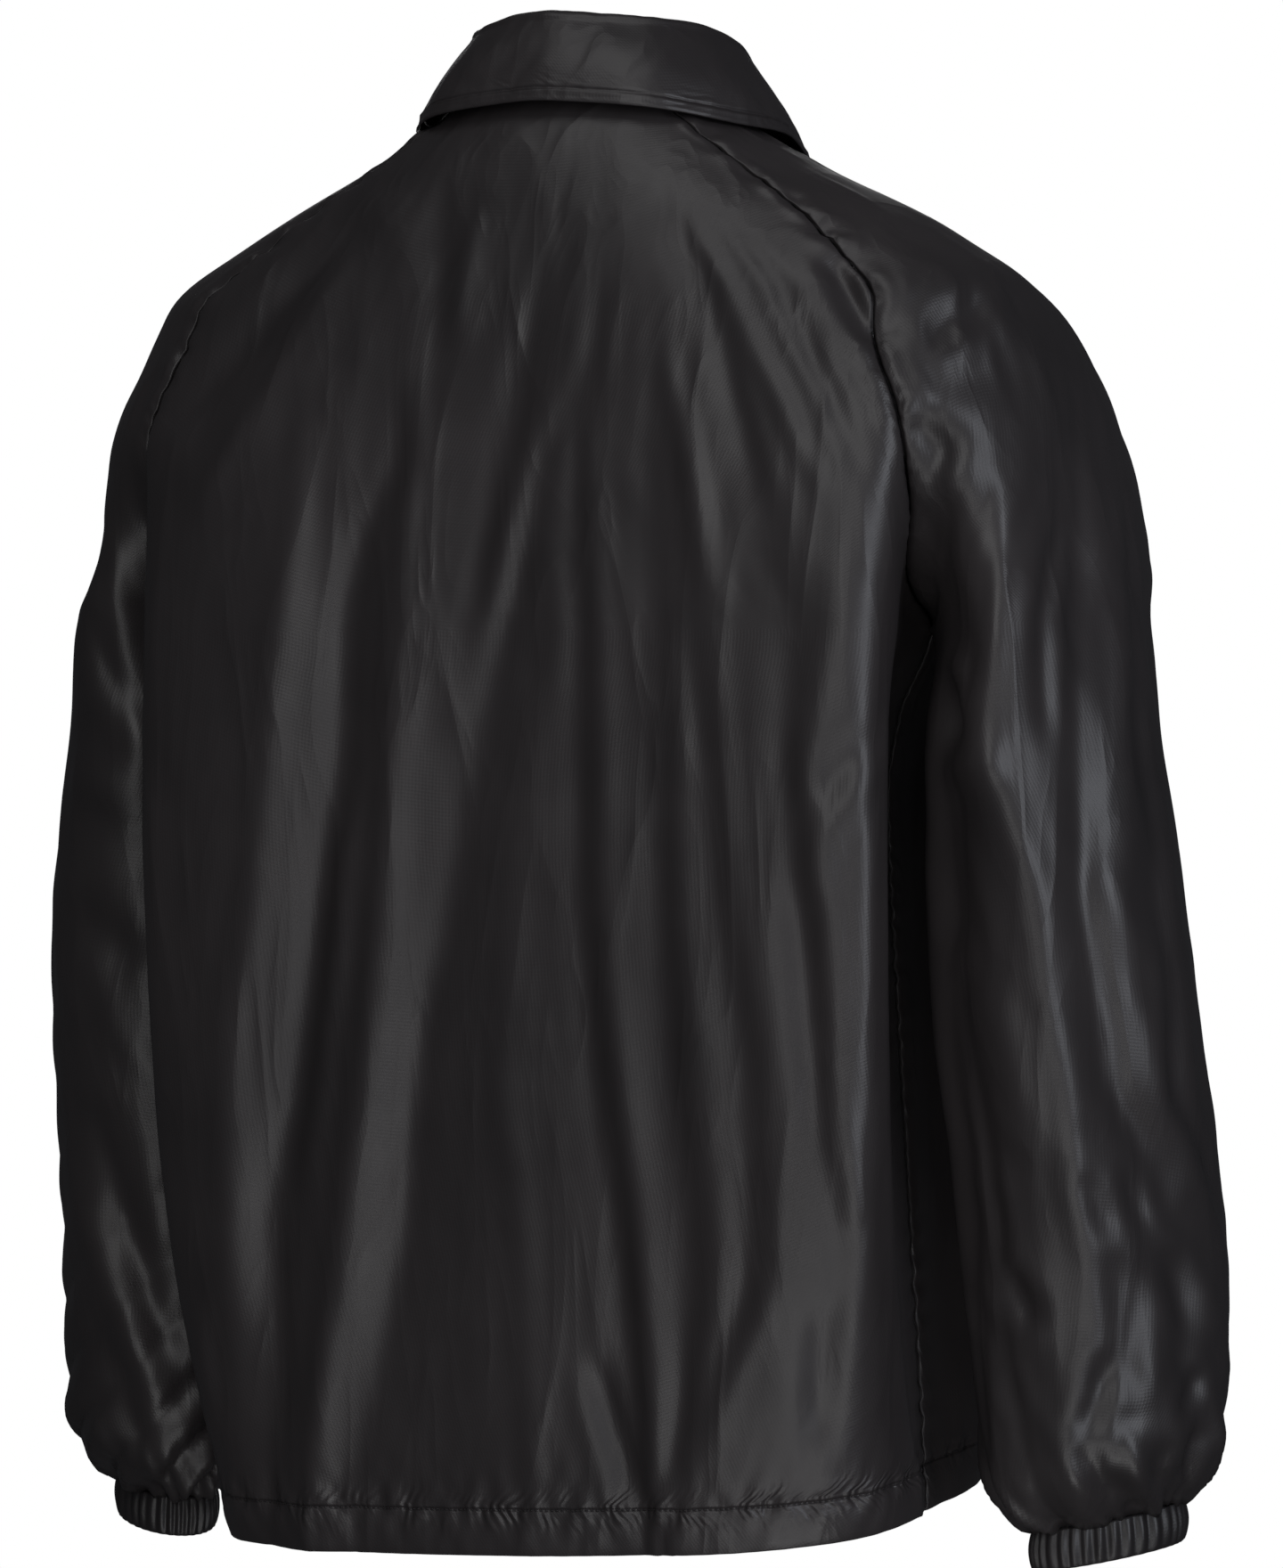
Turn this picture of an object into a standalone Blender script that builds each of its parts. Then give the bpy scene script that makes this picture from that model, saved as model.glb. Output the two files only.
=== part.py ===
"""Coach jacket, worn shape with no wearer: a raglan nylon shell with a turned-down collar,
a snapped front, elastic cuffs and a turned-up hem.

Metres, +Z up. The front faces -Y and the wearer's right side is -X. The origin is the middle
of the neck opening, level with the high shoulder points, where the wearer holds the jacket up.
"""
import math

import bmesh
import bpy
import numpy as np

MM = 0.001

# Cloth and sewing
WALL = 1.5 * MM
HEM_WALL = 3.0 * MM
HEM_DEPTH = 25 * MM
SEAM_GAP = 0.4 * MM
SEAM_FADE = 16 * MM
UNDERARM_FADE = 60 * MM
UNDERARM_GAP = 1.2 * MM
UNDERARM_REACH = 35 * MM

# Grid of the panels
RAGLAN_ROWS = 11
RAGLAN_CROWDING = 0.055
BODY_ROWS = 14
BACK_COLUMNS = 26
FRONT_COLUMNS = 10
SLEEVE_COLUMNS = 20
SLEEVE_ROWS = 15
SLEEVE_CROWDING = 0.12
SECTION_STEPS = 120
SIDE_STEPS = 40

# Body, hem and front
UNDERARM_HEIGHT = -255 * MM
HEM_HEIGHT = -705.5 * MM
HEM_SLOPE = 0.165
HEM_LEAN = 0.025
BACK_NECK_RISE = 5 * MM
FRONT_NECK_HEIGHT = -88 * MM
FRONT_NECK_SCOOP = 1.6
OVERLAP = 18 * MM
LAYER_GAP = 0.6 * MM
LAYER_RUN = 14 * MM
LAYER_CLEAR = 2 * MM
CLOSING_COLUMNS = (OVERLAP + LAYER_CLEAR, OVERLAP / 2, 0, -OVERLAP / 2, -OVERLAP)
CENTRE_COLUMN = FRONT_COLUMNS + 1 + CLOSING_COLUMNS.index(0)
SIDE_TUCK = 2.2
UNDERARM_POINT = 0.54
UNDERARM_POINT_START = 0.45
UNDERARM_POINT_RUN = 70 * MM

# The body's half sections, in millimetres, one row for each height. A section runs from the
# centre back round the back corner to the side, and the same way for the front.
BODY_COLUMN_NAMES = (
    "height", "back_width", "back_corner", "back_depth", "back_round", "side_width",
    "side_place", "front_width", "front_corner", "front_depth", "front_round",
)
BODY = np.array([
    (25, 86, 0, 67, 2.0, 80, 0, 80, 0, 50, 2.0),
    (-10, 128, 5, 88, 2.2, 110, 0, 100, 0, 55, 2.0),
    (-50, 190, 12, 104, 2.4, 150, 0, 130, 5, 64, 2.2),
    (-90, 228, 28, 115, 2.8, 180, 0, 170, 12, 84, 2.4),
    (-130, 228, 60, 122, 3.2, 192, 2, 200, 30, 100, 2.8),
    (-180, 218, 90, 127, 3.7, 194, 4, 212, 50, 109, 3.2),
    (-255, 214, 102, 130, 4.0, 191, 6, 212, 66, 114, 3.6),
    (-300, 213, 106, 131, 4.2, 174, 8, 209, 67, 115, 3.8),
    (-340, 213, 106, 131, 4.2, 168, 8, 206, 68, 116, 3.8),
    (-470, 210, 98, 128, 4.0, 175, 8, 203, 66, 116, 3.8),
    (-570, 204, 78, 124, 3.8, 182, 10, 199, 60, 115, 3.6),
    (-650, 197, 48, 121, 3.3, 187, 10, 195, 40, 113, 3.2),
    (-705.5, 194, 24, 119, 3.0, 190, 10, 192, 20, 111, 3.0),
])

# The raglan seams and the shoulder, one row for each station from the neck to the underarm:
# the back and front seams by height and share of the half section, the crest over the
# shoulder, the arc each side of the crest in degrees, and the front-to-back half width.
RAGLAN_COLUMN_NAMES = (
    "station", "back_height", "back_share", "front_height", "front_share",
    "crest_out", "crest_back", "crest_height", "arc", "spread",
)
RAGLAN = np.array([
    (0.00, 26, 0.44, -8, 0.50, 72, 1, 12, 62, 52),
    (0.15, -20, 0.57, -45, 0.56, 131, -8, -20, 66, 60),
    (0.30, -58, 0.59, -82, 0.62, 198, -18, -54, 76, 74),
    (0.45, -94, 0.61, -118, 0.642, 245, -26, -90, 92, 85),
    (0.62, -136, 0.655, -152, 0.67, 268, -30, -135, 106, 87),
    (0.80, -186, 0.735, -192, 0.75, 281, -23, -185, 125, 85),
    (0.91, -226, 0.86, -228, 0.86, 288, -8, -221, 148, 83),
    (1.00, -255, 1.00, -255, 1.00, 293, 2, -247, 180, 80),
])

# The sleeve's rings below the underarm, in millimetres and degrees: its middle, its long and
# short half widths, the long one's turn from straight out, and the ring's slopes.
RING_COLUMN_NAMES = (
    "height", "middle_out", "middle_back", "long", "short", "turn", "slope_out", "slope_back",
)
RINGS = np.array([
    (-320, 253, 3, 79, 55, 90, 0.07, 0.00),
    (-389, 258, 1, 80, 61, 90, 0.04, 0.00),
    (-458, 262, -5, 80, 63, 95, 0.02, -0.02),
    (-528, 268, -14, 78, 61, 102, 0.02, -0.04),
    (-597, 273, -18, 73, 58, 112, 0.05, -0.07),
    (-645, 276, -17, 68, 54, 120, 0.09, -0.10),
    (-675, 278, -12, 62, 48, 127, 0.12, -0.13),
    (-694, 278, -15, 52, 37, 132, 0.13, -0.13),
    (-705, 278, -19, 40, 25, 135, 0.13, -0.13),
])

# Cuffs
CUFF_HEIGHT = 19 * MM
CUFF_WALL = 1.7 * MM
CUFF_GATHERS = 34
CUFF_GATHER_DEPTH = 1.3 * MM
CUFF_GATHER_STEPS = 4
CUFF_ROWS = 1
CUFF_BULGE = 0.6 * MM

# The collar, in millimetres, one row for each station from the centre back to the front end:
# the station along the neck seam, the ridge where it turns down, and the fall's edge.
COLLAR_COLUMN_NAMES = (
    "station", "ridge_out", "ridge_back", "ridge_height", "edge_out", "edge_back", "edge_height",
)
COLLAR = np.array([
    (0.00, 0, 53, 63, 0, 82, 17),
    (0.22, 44, 41, 61, 60, 70, 12),
    (0.38, 62, 16, 57, 92, 36, 5),
    (0.50, 67, -7, 50, 103, -2, 1),
    (0.64, 63, -36, 26, 104, -44, -28),
    (0.82, 40, -66, -18, 88, -78, -72),
    (1.00, 5, -86, -64, 58, -103, -118),
])
COLLAR_RUNS = (4, 5, 5)
COLLAR_WALL = 1.6 * MM
COLLAR_FOLD = 3.5 * MM
COLLAR_END_GAP = 4 * MM
COLLAR_SEAT = 1.3 * MM
STAND_BOW = 1.5 * MM
FALL_BOW = 3.3 * MM
STAND_POINTS = 4
FOLD_POINTS = 4
FALL_POINTS = 6

# Snaps
SNAP_COUNT = 5
SNAP_RADIUS = 7.5 * MM
SNAP_HEIGHT = 2.4 * MM
SNAP_RIM = 0.8 * MM
SNAP_BACK_RADIUS = 6.0 * MM
SNAP_BACK_HEIGHT = 1.4 * MM
SNAP_SIDES = 16
SNAP_TOP_DROP = 26 * MM
SNAP_BOTTOM_RISE = 70 * MM
SNAP_GAP = 0.45 * MM
SNAP_SHOULDER = 0.8
SNAP_CROWN = 0.4
SNAP_BACK_CROWN = 0.7

# Creases are placed as seen from behind the wearer's right shoulder, VIEW_TURN degrees from
# straight behind, or for the front ones as seen from straight ahead.
VIEW_TURN = 28
BACK_SIDE = 1
FRONT_SIDE = -1

# Millimetres: the piece, the side that it is seen from, three places along it (across to the
# right, and height), its half width, and its depth: a trough is minus, a ridge plus.
CREASE_COLUMN_NAMES = (
    "piece", "side", "start_across", "start_height", "middle_across", "middle_height",
    "end_across", "end_height", "width", "depth",
)
CREASES = [
    ("back", BACK_SIDE, -112, -30, -180, -85, -228, -150, 13, -9),
    ("back", BACK_SIDE, -118, -85, -150, -180, -182, -430, 20, 9),
    ("back", BACK_SIDE, -100, -146, -128, -250, -140, -410, 18, -12),
    ("back", BACK_SIDE, -56, -80, -97, -210, -146, -640, 18, 9),
    ("back", BACK_SIDE, -26, -42, -56, -130, -70, -265, 12, -8),
    ("back", BACK_SIDE, 3, -102, -38, -180, -82, -385, 14, 8),
    ("back", BACK_SIDE, -8, -120, -10, -240, -6, -345, 15, 5),
    ("back", BACK_SIDE, 25, -140, 27, -240, 30, -420, 14, -5),
    ("back", BACK_SIDE, 34, -42, 68, -120, 88, -200, 13, -6),
    ("back", BACK_SIDE, 55, -50, 92, -110, 112, -142, 12, 6),
    ("back", BACK_SIDE, 130, -305, 98, -340, 110, -430, 16, 8),
    ("back", BACK_SIDE, 120, -455, 92, -560, 26, -680, 18, 8),
    ("back", BACK_SIDE, 3, -632, 9, -655, 14, -690, 12, -5),
    ("back", BACK_SIDE, 116, -85, 132, -105, 140, -130, 13, -7),
    ("sleeve_right", BACK_SIDE, 148, -150, 160, -185, 172, -225, 20, -10),
    ("sleeve_right", BACK_SIDE, 178, -215, 200, -225, 190, -265, 14, -8),
    ("sleeve_right", BACK_SIDE, 202, -208, 200, -290, 232, -400, 18, 8),
    ("sleeve_right", BACK_SIDE, 240, -180, 258, -290, 270, -380, 16, 5),
    ("sleeve_right", BACK_SIDE, 182, -310, 176, -350, 184, -420, 16, -7),
    ("sleeve_right", BACK_SIDE, 200, -560, 235, -545, 275, -560, 13, -6),
    ("sleeve_right", BACK_SIDE, 250, -610, 236, -650, 224, -690, 12, -8),
    ("sleeve_right", BACK_SIDE, 262, -668, 280, -655, 297, -630, 11, 6),
    ("sleeve_right", BACK_SIDE, 158, -112, 175, -100, 214, -92, 11, -6),
    ("sleeve_right", FRONT_SIDE, -225, -180, -245, -270, -275, -360, 15, -9),
    ("sleeve_right", FRONT_SIDE, -245, -330, -265, -420, -290, -500, 14, 7),
    ("sleeve_right", FRONT_SIDE, -235, -560, -270, -590, -310, -600, 13, -8),
    ("sleeve_left", BACK_SIDE, -284, -395, -265, -412, -245, -430, 13, -7),
    ("sleeve_left", BACK_SIDE, -280, -500, -258, -560, -228, -640, 13, -7),
    ("sleeve_left", BACK_SIDE, -284, -545, -256, -610, -236, -670, 11, 6),
    ("sleeve_left", BACK_SIDE, -262, -180, -258, -260, -244, -330, 13, 6),
    ("sleeve_left", FRONT_SIDE, 230, -190, 255, -280, 285, -350, 15, -9),
    ("sleeve_left", FRONT_SIDE, 240, -340, 262, -430, 295, -510, 14, 7),
    ("sleeve_left", FRONT_SIDE, 230, -570, 270, -600, 315, -600, 13, -8),
    ("front_right", FRONT_SIDE, -140, -140, -105, -250, -60, -420, 17, -9),
    ("front_right", FRONT_SIDE, -185, -230, -150, -380, -125, -580, 18, 8),
    ("front_right", FRONT_SIDE, -80, -120, -62, -220, -58, -330, 14, 6),
    ("front_right", FRONT_SIDE, -170, -470, -130, -560, -70, -640, 16, -7),
    ("front_left", FRONT_SIDE, 128, -150, 92, -260, 66, -430, 17, -9),
    ("front_left", FRONT_SIDE, 182, -240, 142, -400, 120, -590, 18, 8),
    ("front_left", FRONT_SIDE, 70, -130, 58, -230, 52, -350, 14, 6),
    ("front_left", FRONT_SIDE, 175, -450, 140, -550, 85, -650, 16, -7),
]
CREASE_STEPS = 10
CREASE_TAPER = 0.8
CREASE_END = 0.02
FACING_GAIN = 2.5
SHARP_ANGLE = 50
POINT_DIGITS = 6

# Finishes: colour, roughness and metallic
NYLON = ("coated_nylon", (0.040, 0.037, 0.038), 0.38, 0.0)
NYLON_RIB = ("gathered_nylon", (0.032, 0.030, 0.031), 0.45, 0.0)
SNAP_PAINT = ("painted_snap", (0.020, 0.020, 0.021), 0.30, 0.6)


def clear_scene():
    """Removes whatever the scene holds before the jacket is made."""
    for item in list(bpy.data.objects):
        bpy.data.objects.remove(item, do_unlink=True)


def smooth_value(places, values, wanted):
    """Reads a table column at a place with a curve that never overshoots its rows."""
    places = np.asarray(places, float)
    values = np.asarray(values, float)
    if places[0] > places[-1]:
        places, values = places[::-1], values[::-1]
    run = np.diff(places)
    rise = np.diff(values) / run
    slope = np.zeros_like(values)
    same = rise[:-1] * rise[1:] > 0
    first = 2 * run[1:] + run[:-1]
    second = run[1:] + 2 * run[:-1]
    safe = np.where(same, rise[:-1], 1.0), np.where(same, rise[1:], 1.0)
    slope[1:-1] = np.where(same, (first + second) / (first / safe[0] + second / safe[1]), 0.0)
    slope[0] = rise[0]
    slope[-1] = rise[-1]
    wanted = np.clip(wanted, places[0], places[-1])
    cell = np.clip(np.searchsorted(places, wanted) - 1, 0, len(run) - 1)
    part = (wanted - places[cell]) / run[cell]
    rest = 1 - part
    return (values[cell] * (1 + 2 * part) * rest ** 2
            + values[cell + 1] * part ** 2 * (3 - 2 * part)
            + run[cell] * (slope[cell] * part * rest ** 2 - slope[cell + 1] * part ** 2 * rest))


def soft_step(value):
    """Goes from 0 to 1 with level ends."""
    value = np.clip(value, 0.0, 1.0)
    return value * value * (3 - 2 * value)


def body_size(name, height):
    """Returns one column of the body table at a height, in metres, or as it is for a shape."""
    column = smooth_value(BODY[:, 0] * MM, BODY[:, BODY_COLUMN_NAMES.index(name)], height)
    return column if name.endswith("round") else column * MM


def half_section(height, face):
    """Returns the points of the half section at a height, from the centre line to the side."""
    width = body_size(face + "_width", height)
    corner = body_size(face + "_corner", height)
    depth = body_size(face + "_depth", height)
    power = 2 / body_size(face + "_round", height)
    side = body_size("side_width", height)
    side_place = body_size("side_place", height) * (1 if face == "back" else -1)
    turn = np.linspace(0, math.pi / 2, SECTION_STEPS + 1)
    out = width * np.sin(turn) ** power
    deep = corner + (depth - corner) * np.cos(turn).clip(0, 1) ** power
    left = np.linspace(1, 0, SIDE_STEPS + 1)[1:]
    out = np.append(out, side + (width - side) * soft_step(left) ** SIDE_TUCK)
    deep = np.append(deep, side_place + (corner - side_place) * left)
    length = np.append(0, np.cumsum(np.hypot(np.diff(out), np.diff(deep))))
    return out, deep * (1 if face == "back" else -1), length


def body_point(height, face, share):
    """Returns the point on the body at a height and a share of the half section.

    A minus share is on the other side of the centre line.
    """
    out, deep, length = half_section(height, face)
    along = abs(share) * length[-1]
    x = math.copysign(float(np.interp(along, length, out)), share)
    y = float(np.interp(along, length, deep))
    return x, y, height


def hang_hem(grid):
    """Lets the rows below the underarm hang lower at the back and on the wearer's left."""
    sloped = soft_step((UNDERARM_HEIGHT - grid[:, :, 2]) / (UNDERARM_HEIGHT - HEM_HEIGHT))
    hung = grid.copy()
    hung[:, :, 2] -= sloped * (HEM_SLOPE * grid[:, :, 1] + HEM_LEAN * grid[:, :, 0])
    return hung


def raglan_size(name, station):
    """Returns one column of the raglan table at a station."""
    column = RAGLAN[:, RAGLAN_COLUMN_NAMES.index(name)]
    value = float(smooth_value(RAGLAN[:, 0], column, station))
    return value if name in ("back_share", "front_share", "arc") else value * MM


def raglan_station(row):
    """Spreads the rows from the neck to the underarm, closer together at both ends."""
    part = row / RAGLAN_ROWS
    return part - RAGLAN_CROWDING * math.sin(math.tau * part)


def body_height(row):
    """Returns the height of a row below the underarm, the last two rows being the casing's."""
    above_casing = BODY_ROWS - 2
    casing = HEM_HEIGHT + HEM_DEPTH
    if row > above_casing:
        return casing - (row - above_casing) / 2 * HEM_DEPTH
    return UNDERARM_HEIGHT + (casing - UNDERARM_HEIGHT) * row / above_casing


def back_grid():
    """Returns the back's points, row by row, from the left seam to the right."""
    rows = []
    for row in range(RAGLAN_ROWS + BODY_ROWS + 1):
        points = []
        for column in range(BACK_COLUMNS + 1):
            across = 1 - 2 * column / BACK_COLUMNS
            if row <= RAGLAN_ROWS:
                station = raglan_station(row)
                share = across * raglan_size("back_share", station)
                rise = BACK_NECK_RISE * (1 - across ** 2) * (1 - station) ** 2
                height = raglan_size("back_height", station) + rise
            else:
                share = across
                height = body_height(row - RAGLAN_ROWS)
            points.append(body_point(height, "back", share))
        rows.append(points)
    return hang_hem(np.array(rows))


def front_grid(hand):
    """Returns a front's points from the side to its closing edge, past the centre line.

    hand is 1 for the left front and -1 for the right.
    """
    rows = []
    for row in range(RAGLAN_ROWS + BODY_ROWS + 1):
        if row <= RAGLAN_ROWS:
            station = raglan_station(row)
            top = raglan_size("front_height", station)
            centre = FRONT_NECK_HEIGHT + (UNDERARM_HEIGHT - FRONT_NECK_HEIGHT) * station
            reach = raglan_size("front_share", station)
        else:
            top = centre = body_height(row - RAGLAN_ROWS)
            reach = 1.0
        inner = (OVERLAP + LAYER_RUN) / half_section(centre, "front")[2][-1]
        shares = [reach + (inner - reach) * column / FRONT_COLUMNS
                  for column in range(FRONT_COLUMNS + 1)]
        points = []
        for column in range(FRONT_COLUMNS + 1 + len(CLOSING_COLUMNS)):
            if column <= FRONT_COLUMNS:
                share = shares[column]
            else:
                place = CLOSING_COLUMNS[column - FRONT_COLUMNS - 1]
                share = place / half_section(centre, "front")[2][-1]
            scoop = max(share / reach, 0) ** FRONT_NECK_SCOOP
            x, y, z = body_point(centre + (top - centre) * scoop, "front", share)
            points.append((x, y, z))
        rows.append(points)
    grid = np.array(rows)
    grid[:, :, 0] *= hand
    return hang_hem(grid)


def shoulder_arc(station):
    """Returns a row of the sleeve above the underarm, from the front seam over the crest."""
    back = np.array(body_point(raglan_size("back_height", station), "back",
                               raglan_size("back_share", station)))
    front = np.array(body_point(raglan_size("front_height", station), "front",
                                raglan_size("front_share", station)))
    crest = np.array([raglan_size("crest_out", station), raglan_size("crest_back", station),
                      raglan_size("crest_height", station)])
    arc = math.radians(raglan_size("arc", station))
    spread = raglan_size("spread", station)
    middle = (back + front) / 2
    chord = back - front
    half = float(np.linalg.norm(chord)) / 2
    sideways = chord / (2 * half) if half > SEAM_GAP else np.array([0.0, 1.0, 0.0])
    near = soft_step((station - UNDERARM_POINT_START) / (1 - UNDERARM_POINT_START))
    point_power = 1 - (1 - UNDERARM_POINT) * float(near)
    points = []
    for column in range(SLEEVE_COLUMNS + 1):
        turn = arc * (2 * column / SLEEVE_COLUMNS - 1)
        out = (math.cos(turn) - math.cos(arc)) / (1 - math.cos(arc))
        out = out ** point_power
        wide = spread * math.sin(turn)
        wide += (half - spread * math.sin(arc)) * (turn / arc) ** 3
        points.append(middle + (crest - middle) * out + sideways * wide)
    points[0], points[-1] = front, back
    return np.array(points)


def ring_size(name, height):
    """Returns one column of the ring table at a height."""
    value = float(smooth_value(RING_TABLE[:, 0] * MM,
                               RING_TABLE[:, RING_COLUMN_NAMES.index(name)], height))
    return value if name in ("turn", "slope_out", "slope_back") else value * MM


def ring_point(height, turn, grow=0.0):
    """Returns a point of the sleeve's ring at a height, grown outwards by a length."""
    lean = math.radians(ring_size("turn", height))
    long_part = (ring_size("long", height) + grow) * math.cos(turn - lean)
    short_part = (ring_size("short", height) + grow) * math.sin(turn - lean)
    out = long_part * math.cos(lean) - short_part * math.sin(lean)
    back = long_part * math.sin(lean) + short_part * math.cos(lean)
    near = 1 - float(soft_step((RING_TABLE[0, 0] * MM - height) / UNDERARM_POINT_RUN))
    part = (1 + math.cos(turn)) / 2
    out += 2 * ring_size("short", height) * (part ** (1 - (1 - UNDERARM_POINT) * near) - part)
    rise = ring_size("slope_out", height) * out + ring_size("slope_back", height) * back
    return (ring_size("middle_out", height) + out, ring_size("middle_back", height) + back,
            height + rise)


def first_ring():
    """Returns the ring table's row at the underarm, which the last shoulder arc gives."""
    side = np.array(body_point(UNDERARM_HEIGHT, "back", 1.0))
    crest = np.array([raglan_size("crest_out", 1), raglan_size("crest_back", 1),
                      raglan_size("crest_height", 1)])
    middle = (side + crest) / 2
    reach = crest - side
    return (middle[2] / MM, middle[0] / MM, middle[1] / MM, raglan_size("spread", 1) / MM,
            reach[0] / 2 / MM, 90, reach[2] / reach[0], 0)


# The ring table with the row on top that the last shoulder arc gives
RING_TABLE = np.vstack([first_ring(), RINGS])


def sleeve_height(row):
    """Returns the height of a sleeve row, closer together near the cuff."""
    part = row / SLEEVE_ROWS
    top = RING_TABLE[0, 0] * MM
    bottom = RINGS[-1, 0] * MM
    return top + (bottom - top) * (part + SLEEVE_CROWDING * math.sin(math.pi * part))


def sleeve_grid(hand):
    """Returns a sleeve's points, row by row, from the front edge over the outside to the back."""
    rows = [shoulder_arc(raglan_station(row)) for row in range(RAGLAN_ROWS + 1)]
    for row in range(1, SLEEVE_ROWS + 1):
        height = sleeve_height(row)
        turns = [math.pi * (2 * column / SLEEVE_COLUMNS - 1)
                 for column in range(SLEEVE_COLUMNS + 1)]
        ring = np.array([ring_point(height, turn) for turn in turns])
        ring[-1] = ring[0]
        rows.append(ring)
    grid = np.array(rows)
    grid[:, :, 0] *= hand
    return grid


def face_normals(grid):
    """Returns each cell's normal, as long as its area."""
    down = grid[1:, :-1] - grid[:-1, 1:]
    over = grid[1:, 1:] - grid[:-1, :-1]
    return np.cross(down, over)


def point_key(place):
    """Returns a name for a point, the same for the points that pieces share at a seam."""
    return tuple(np.round(place, POINT_DIGITS))


def shared_normals(grids, flips):
    """Returns unit normals for all grids, the same where pieces meet at a seam."""
    totals = {}
    for name, grid in grids.items():
        normals = face_normals(grid) * flips[name]
        rows, columns = normals.shape[:2]
        for row in range(rows):
            for column in range(columns):
                for corner in ((0, 0), (0, 1), (1, 0), (1, 1)):
                    key = point_key(grid[row + corner[0], column + corner[1]])
                    totals[key] = totals.get(key, 0) + normals[row, column]
    result = {}
    for name, grid in grids.items():
        unit = np.array([[totals[point_key(place)] for place in row] for row in grid])
        result[name] = unit / np.linalg.norm(unit, axis=2, keepdims=True)
    return result


def crease_depths(name, points, normals, fade):
    """Adds up the creases of a piece at its points, in metres along the normal."""
    turn = math.radians(VIEW_TURN)
    seen = {
        BACK_SIDE: (-points[:, 0] * math.cos(turn) - points[:, 1] * math.sin(turn),
                    normals[:, 1] * math.cos(turn) - normals[:, 0] * math.sin(turn)),
        FRONT_SIDE: (points[:, 0], -normals[:, 1]),
    }
    total = np.zeros(len(points))
    for crease in CREASES:
        row = dict(zip(CREASE_COLUMN_NAMES, crease))
        if row["piece"] != name:
            continue
        side, width, depth = row["side"], row["width"], row["depth"]
        steps = np.linspace(0, 1, CREASE_STEPS + 1)[:, None]
        start, middle, end = [np.array([row[place + "_across"], row[place + "_height"]]) * MM
                              for place in ("start", "middle", "end")]
        line = start * (1 - steps) ** 2 + middle * 2 * steps * (1 - steps) + end * steps ** 2
        across, facing = seen[side]
        place = np.stack([across, points[:, 2]], axis=1)
        nearest = np.full(len(points), np.inf)
        along = np.zeros(len(points))
        for step in range(CREASE_STEPS):
            run = line[step + 1] - line[step]
            part = np.clip((place - line[step]) @ run / (run @ run), 0, 1)
            away = np.linalg.norm(place - line[step] - part[:, None] * run, axis=1)
            closer = away < nearest
            nearest = np.where(closer, away, nearest)
            along = np.where(closer, (step + part) / CREASE_STEPS, along)
        shape = np.exp(-(nearest / (width * MM)) ** 2)
        inside = np.clip(along, CREASE_END, 1 - CREASE_END)
        taper = np.sin(math.pi * inside) ** CREASE_TAPER
        total += depth * MM * shape * taper * soft_step(facing * FACING_GAIN)
    return total * fade


def seam_fades(name, grid):
    """Returns how far creases show at each point: nothing at a seam or an edge, all inside."""
    rows, columns = grid.shape[:2]
    gaps = np.linalg.norm(np.diff(grid, axis=1), axis=2)
    run = np.concatenate([np.zeros((rows, 1)), np.cumsum(gaps, axis=1)], axis=1)
    drop = np.linalg.norm(np.diff(grid, axis=0), axis=2)
    fall = np.concatenate([np.zeros((1, columns)), np.cumsum(drop, axis=0)], axis=0)
    across = np.minimum(run, run[:, -1:] - run)
    if name.startswith("sleeve"):
        across[RAGLAN_ROWS + 1:] = SEAM_FADE
    if name.startswith("front"):
        across = np.minimum(run, run[:, -1:] - run - 2 * OVERLAP - LAYER_CLEAR)
    ends = np.minimum(fall, fall[-1:] - fall)
    clear = soft_step(underarm_distance(grid) / UNDERARM_FADE)
    return soft_step(across / SEAM_FADE) * soft_step(ends / SEAM_FADE) * clear


def underarm_distance(points):
    """Returns how far points lie from the nearer underarm point."""
    x, y, z = body_point(UNDERARM_HEIGHT, "back", 1.0)
    return np.sqrt((np.abs(points[..., 0]) - x) ** 2 + (points[..., 1] - y) ** 2
                   + (points[..., 2] - z) ** 2)


def half_gap(points):
    """Returns half the seam gap at each point, wider where four pieces meet underarm."""
    near = 1 - soft_step(underarm_distance(points) / UNDERARM_REACH)
    return (SEAM_GAP + (UNDERARM_GAP - SEAM_GAP) * near)[..., None] / 2


def tuck_under(grid, normals):
    """Sets the right front's closing edge one layer in, under the left front."""
    start = -OVERLAP - LAYER_RUN
    depth = wall_depths("front_left", grid) + LAYER_GAP
    depth *= soft_step((grid[:, :, 0] - start) / (LAYER_RUN - LAYER_CLEAR))
    return grid - normals * depth[:, :, None]


def seam_edges(name):
    """Returns the columns of a piece that are sewn to another: an edge and the next one in."""
    return ((0, 1),) if name.startswith("front") else ((0, 1), (-1, -2))


def seam_runs(name, grid, edge, inner):
    """Returns the directions that lead from a seam into the cloth, down to the last seam row."""
    run = grid[:, inner] - grid[:, edge]
    if name.startswith("sleeve"):
        run = run[:RAGLAN_ROWS + 1]
    return run / np.linalg.norm(run, axis=1, keepdims=True)


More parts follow.
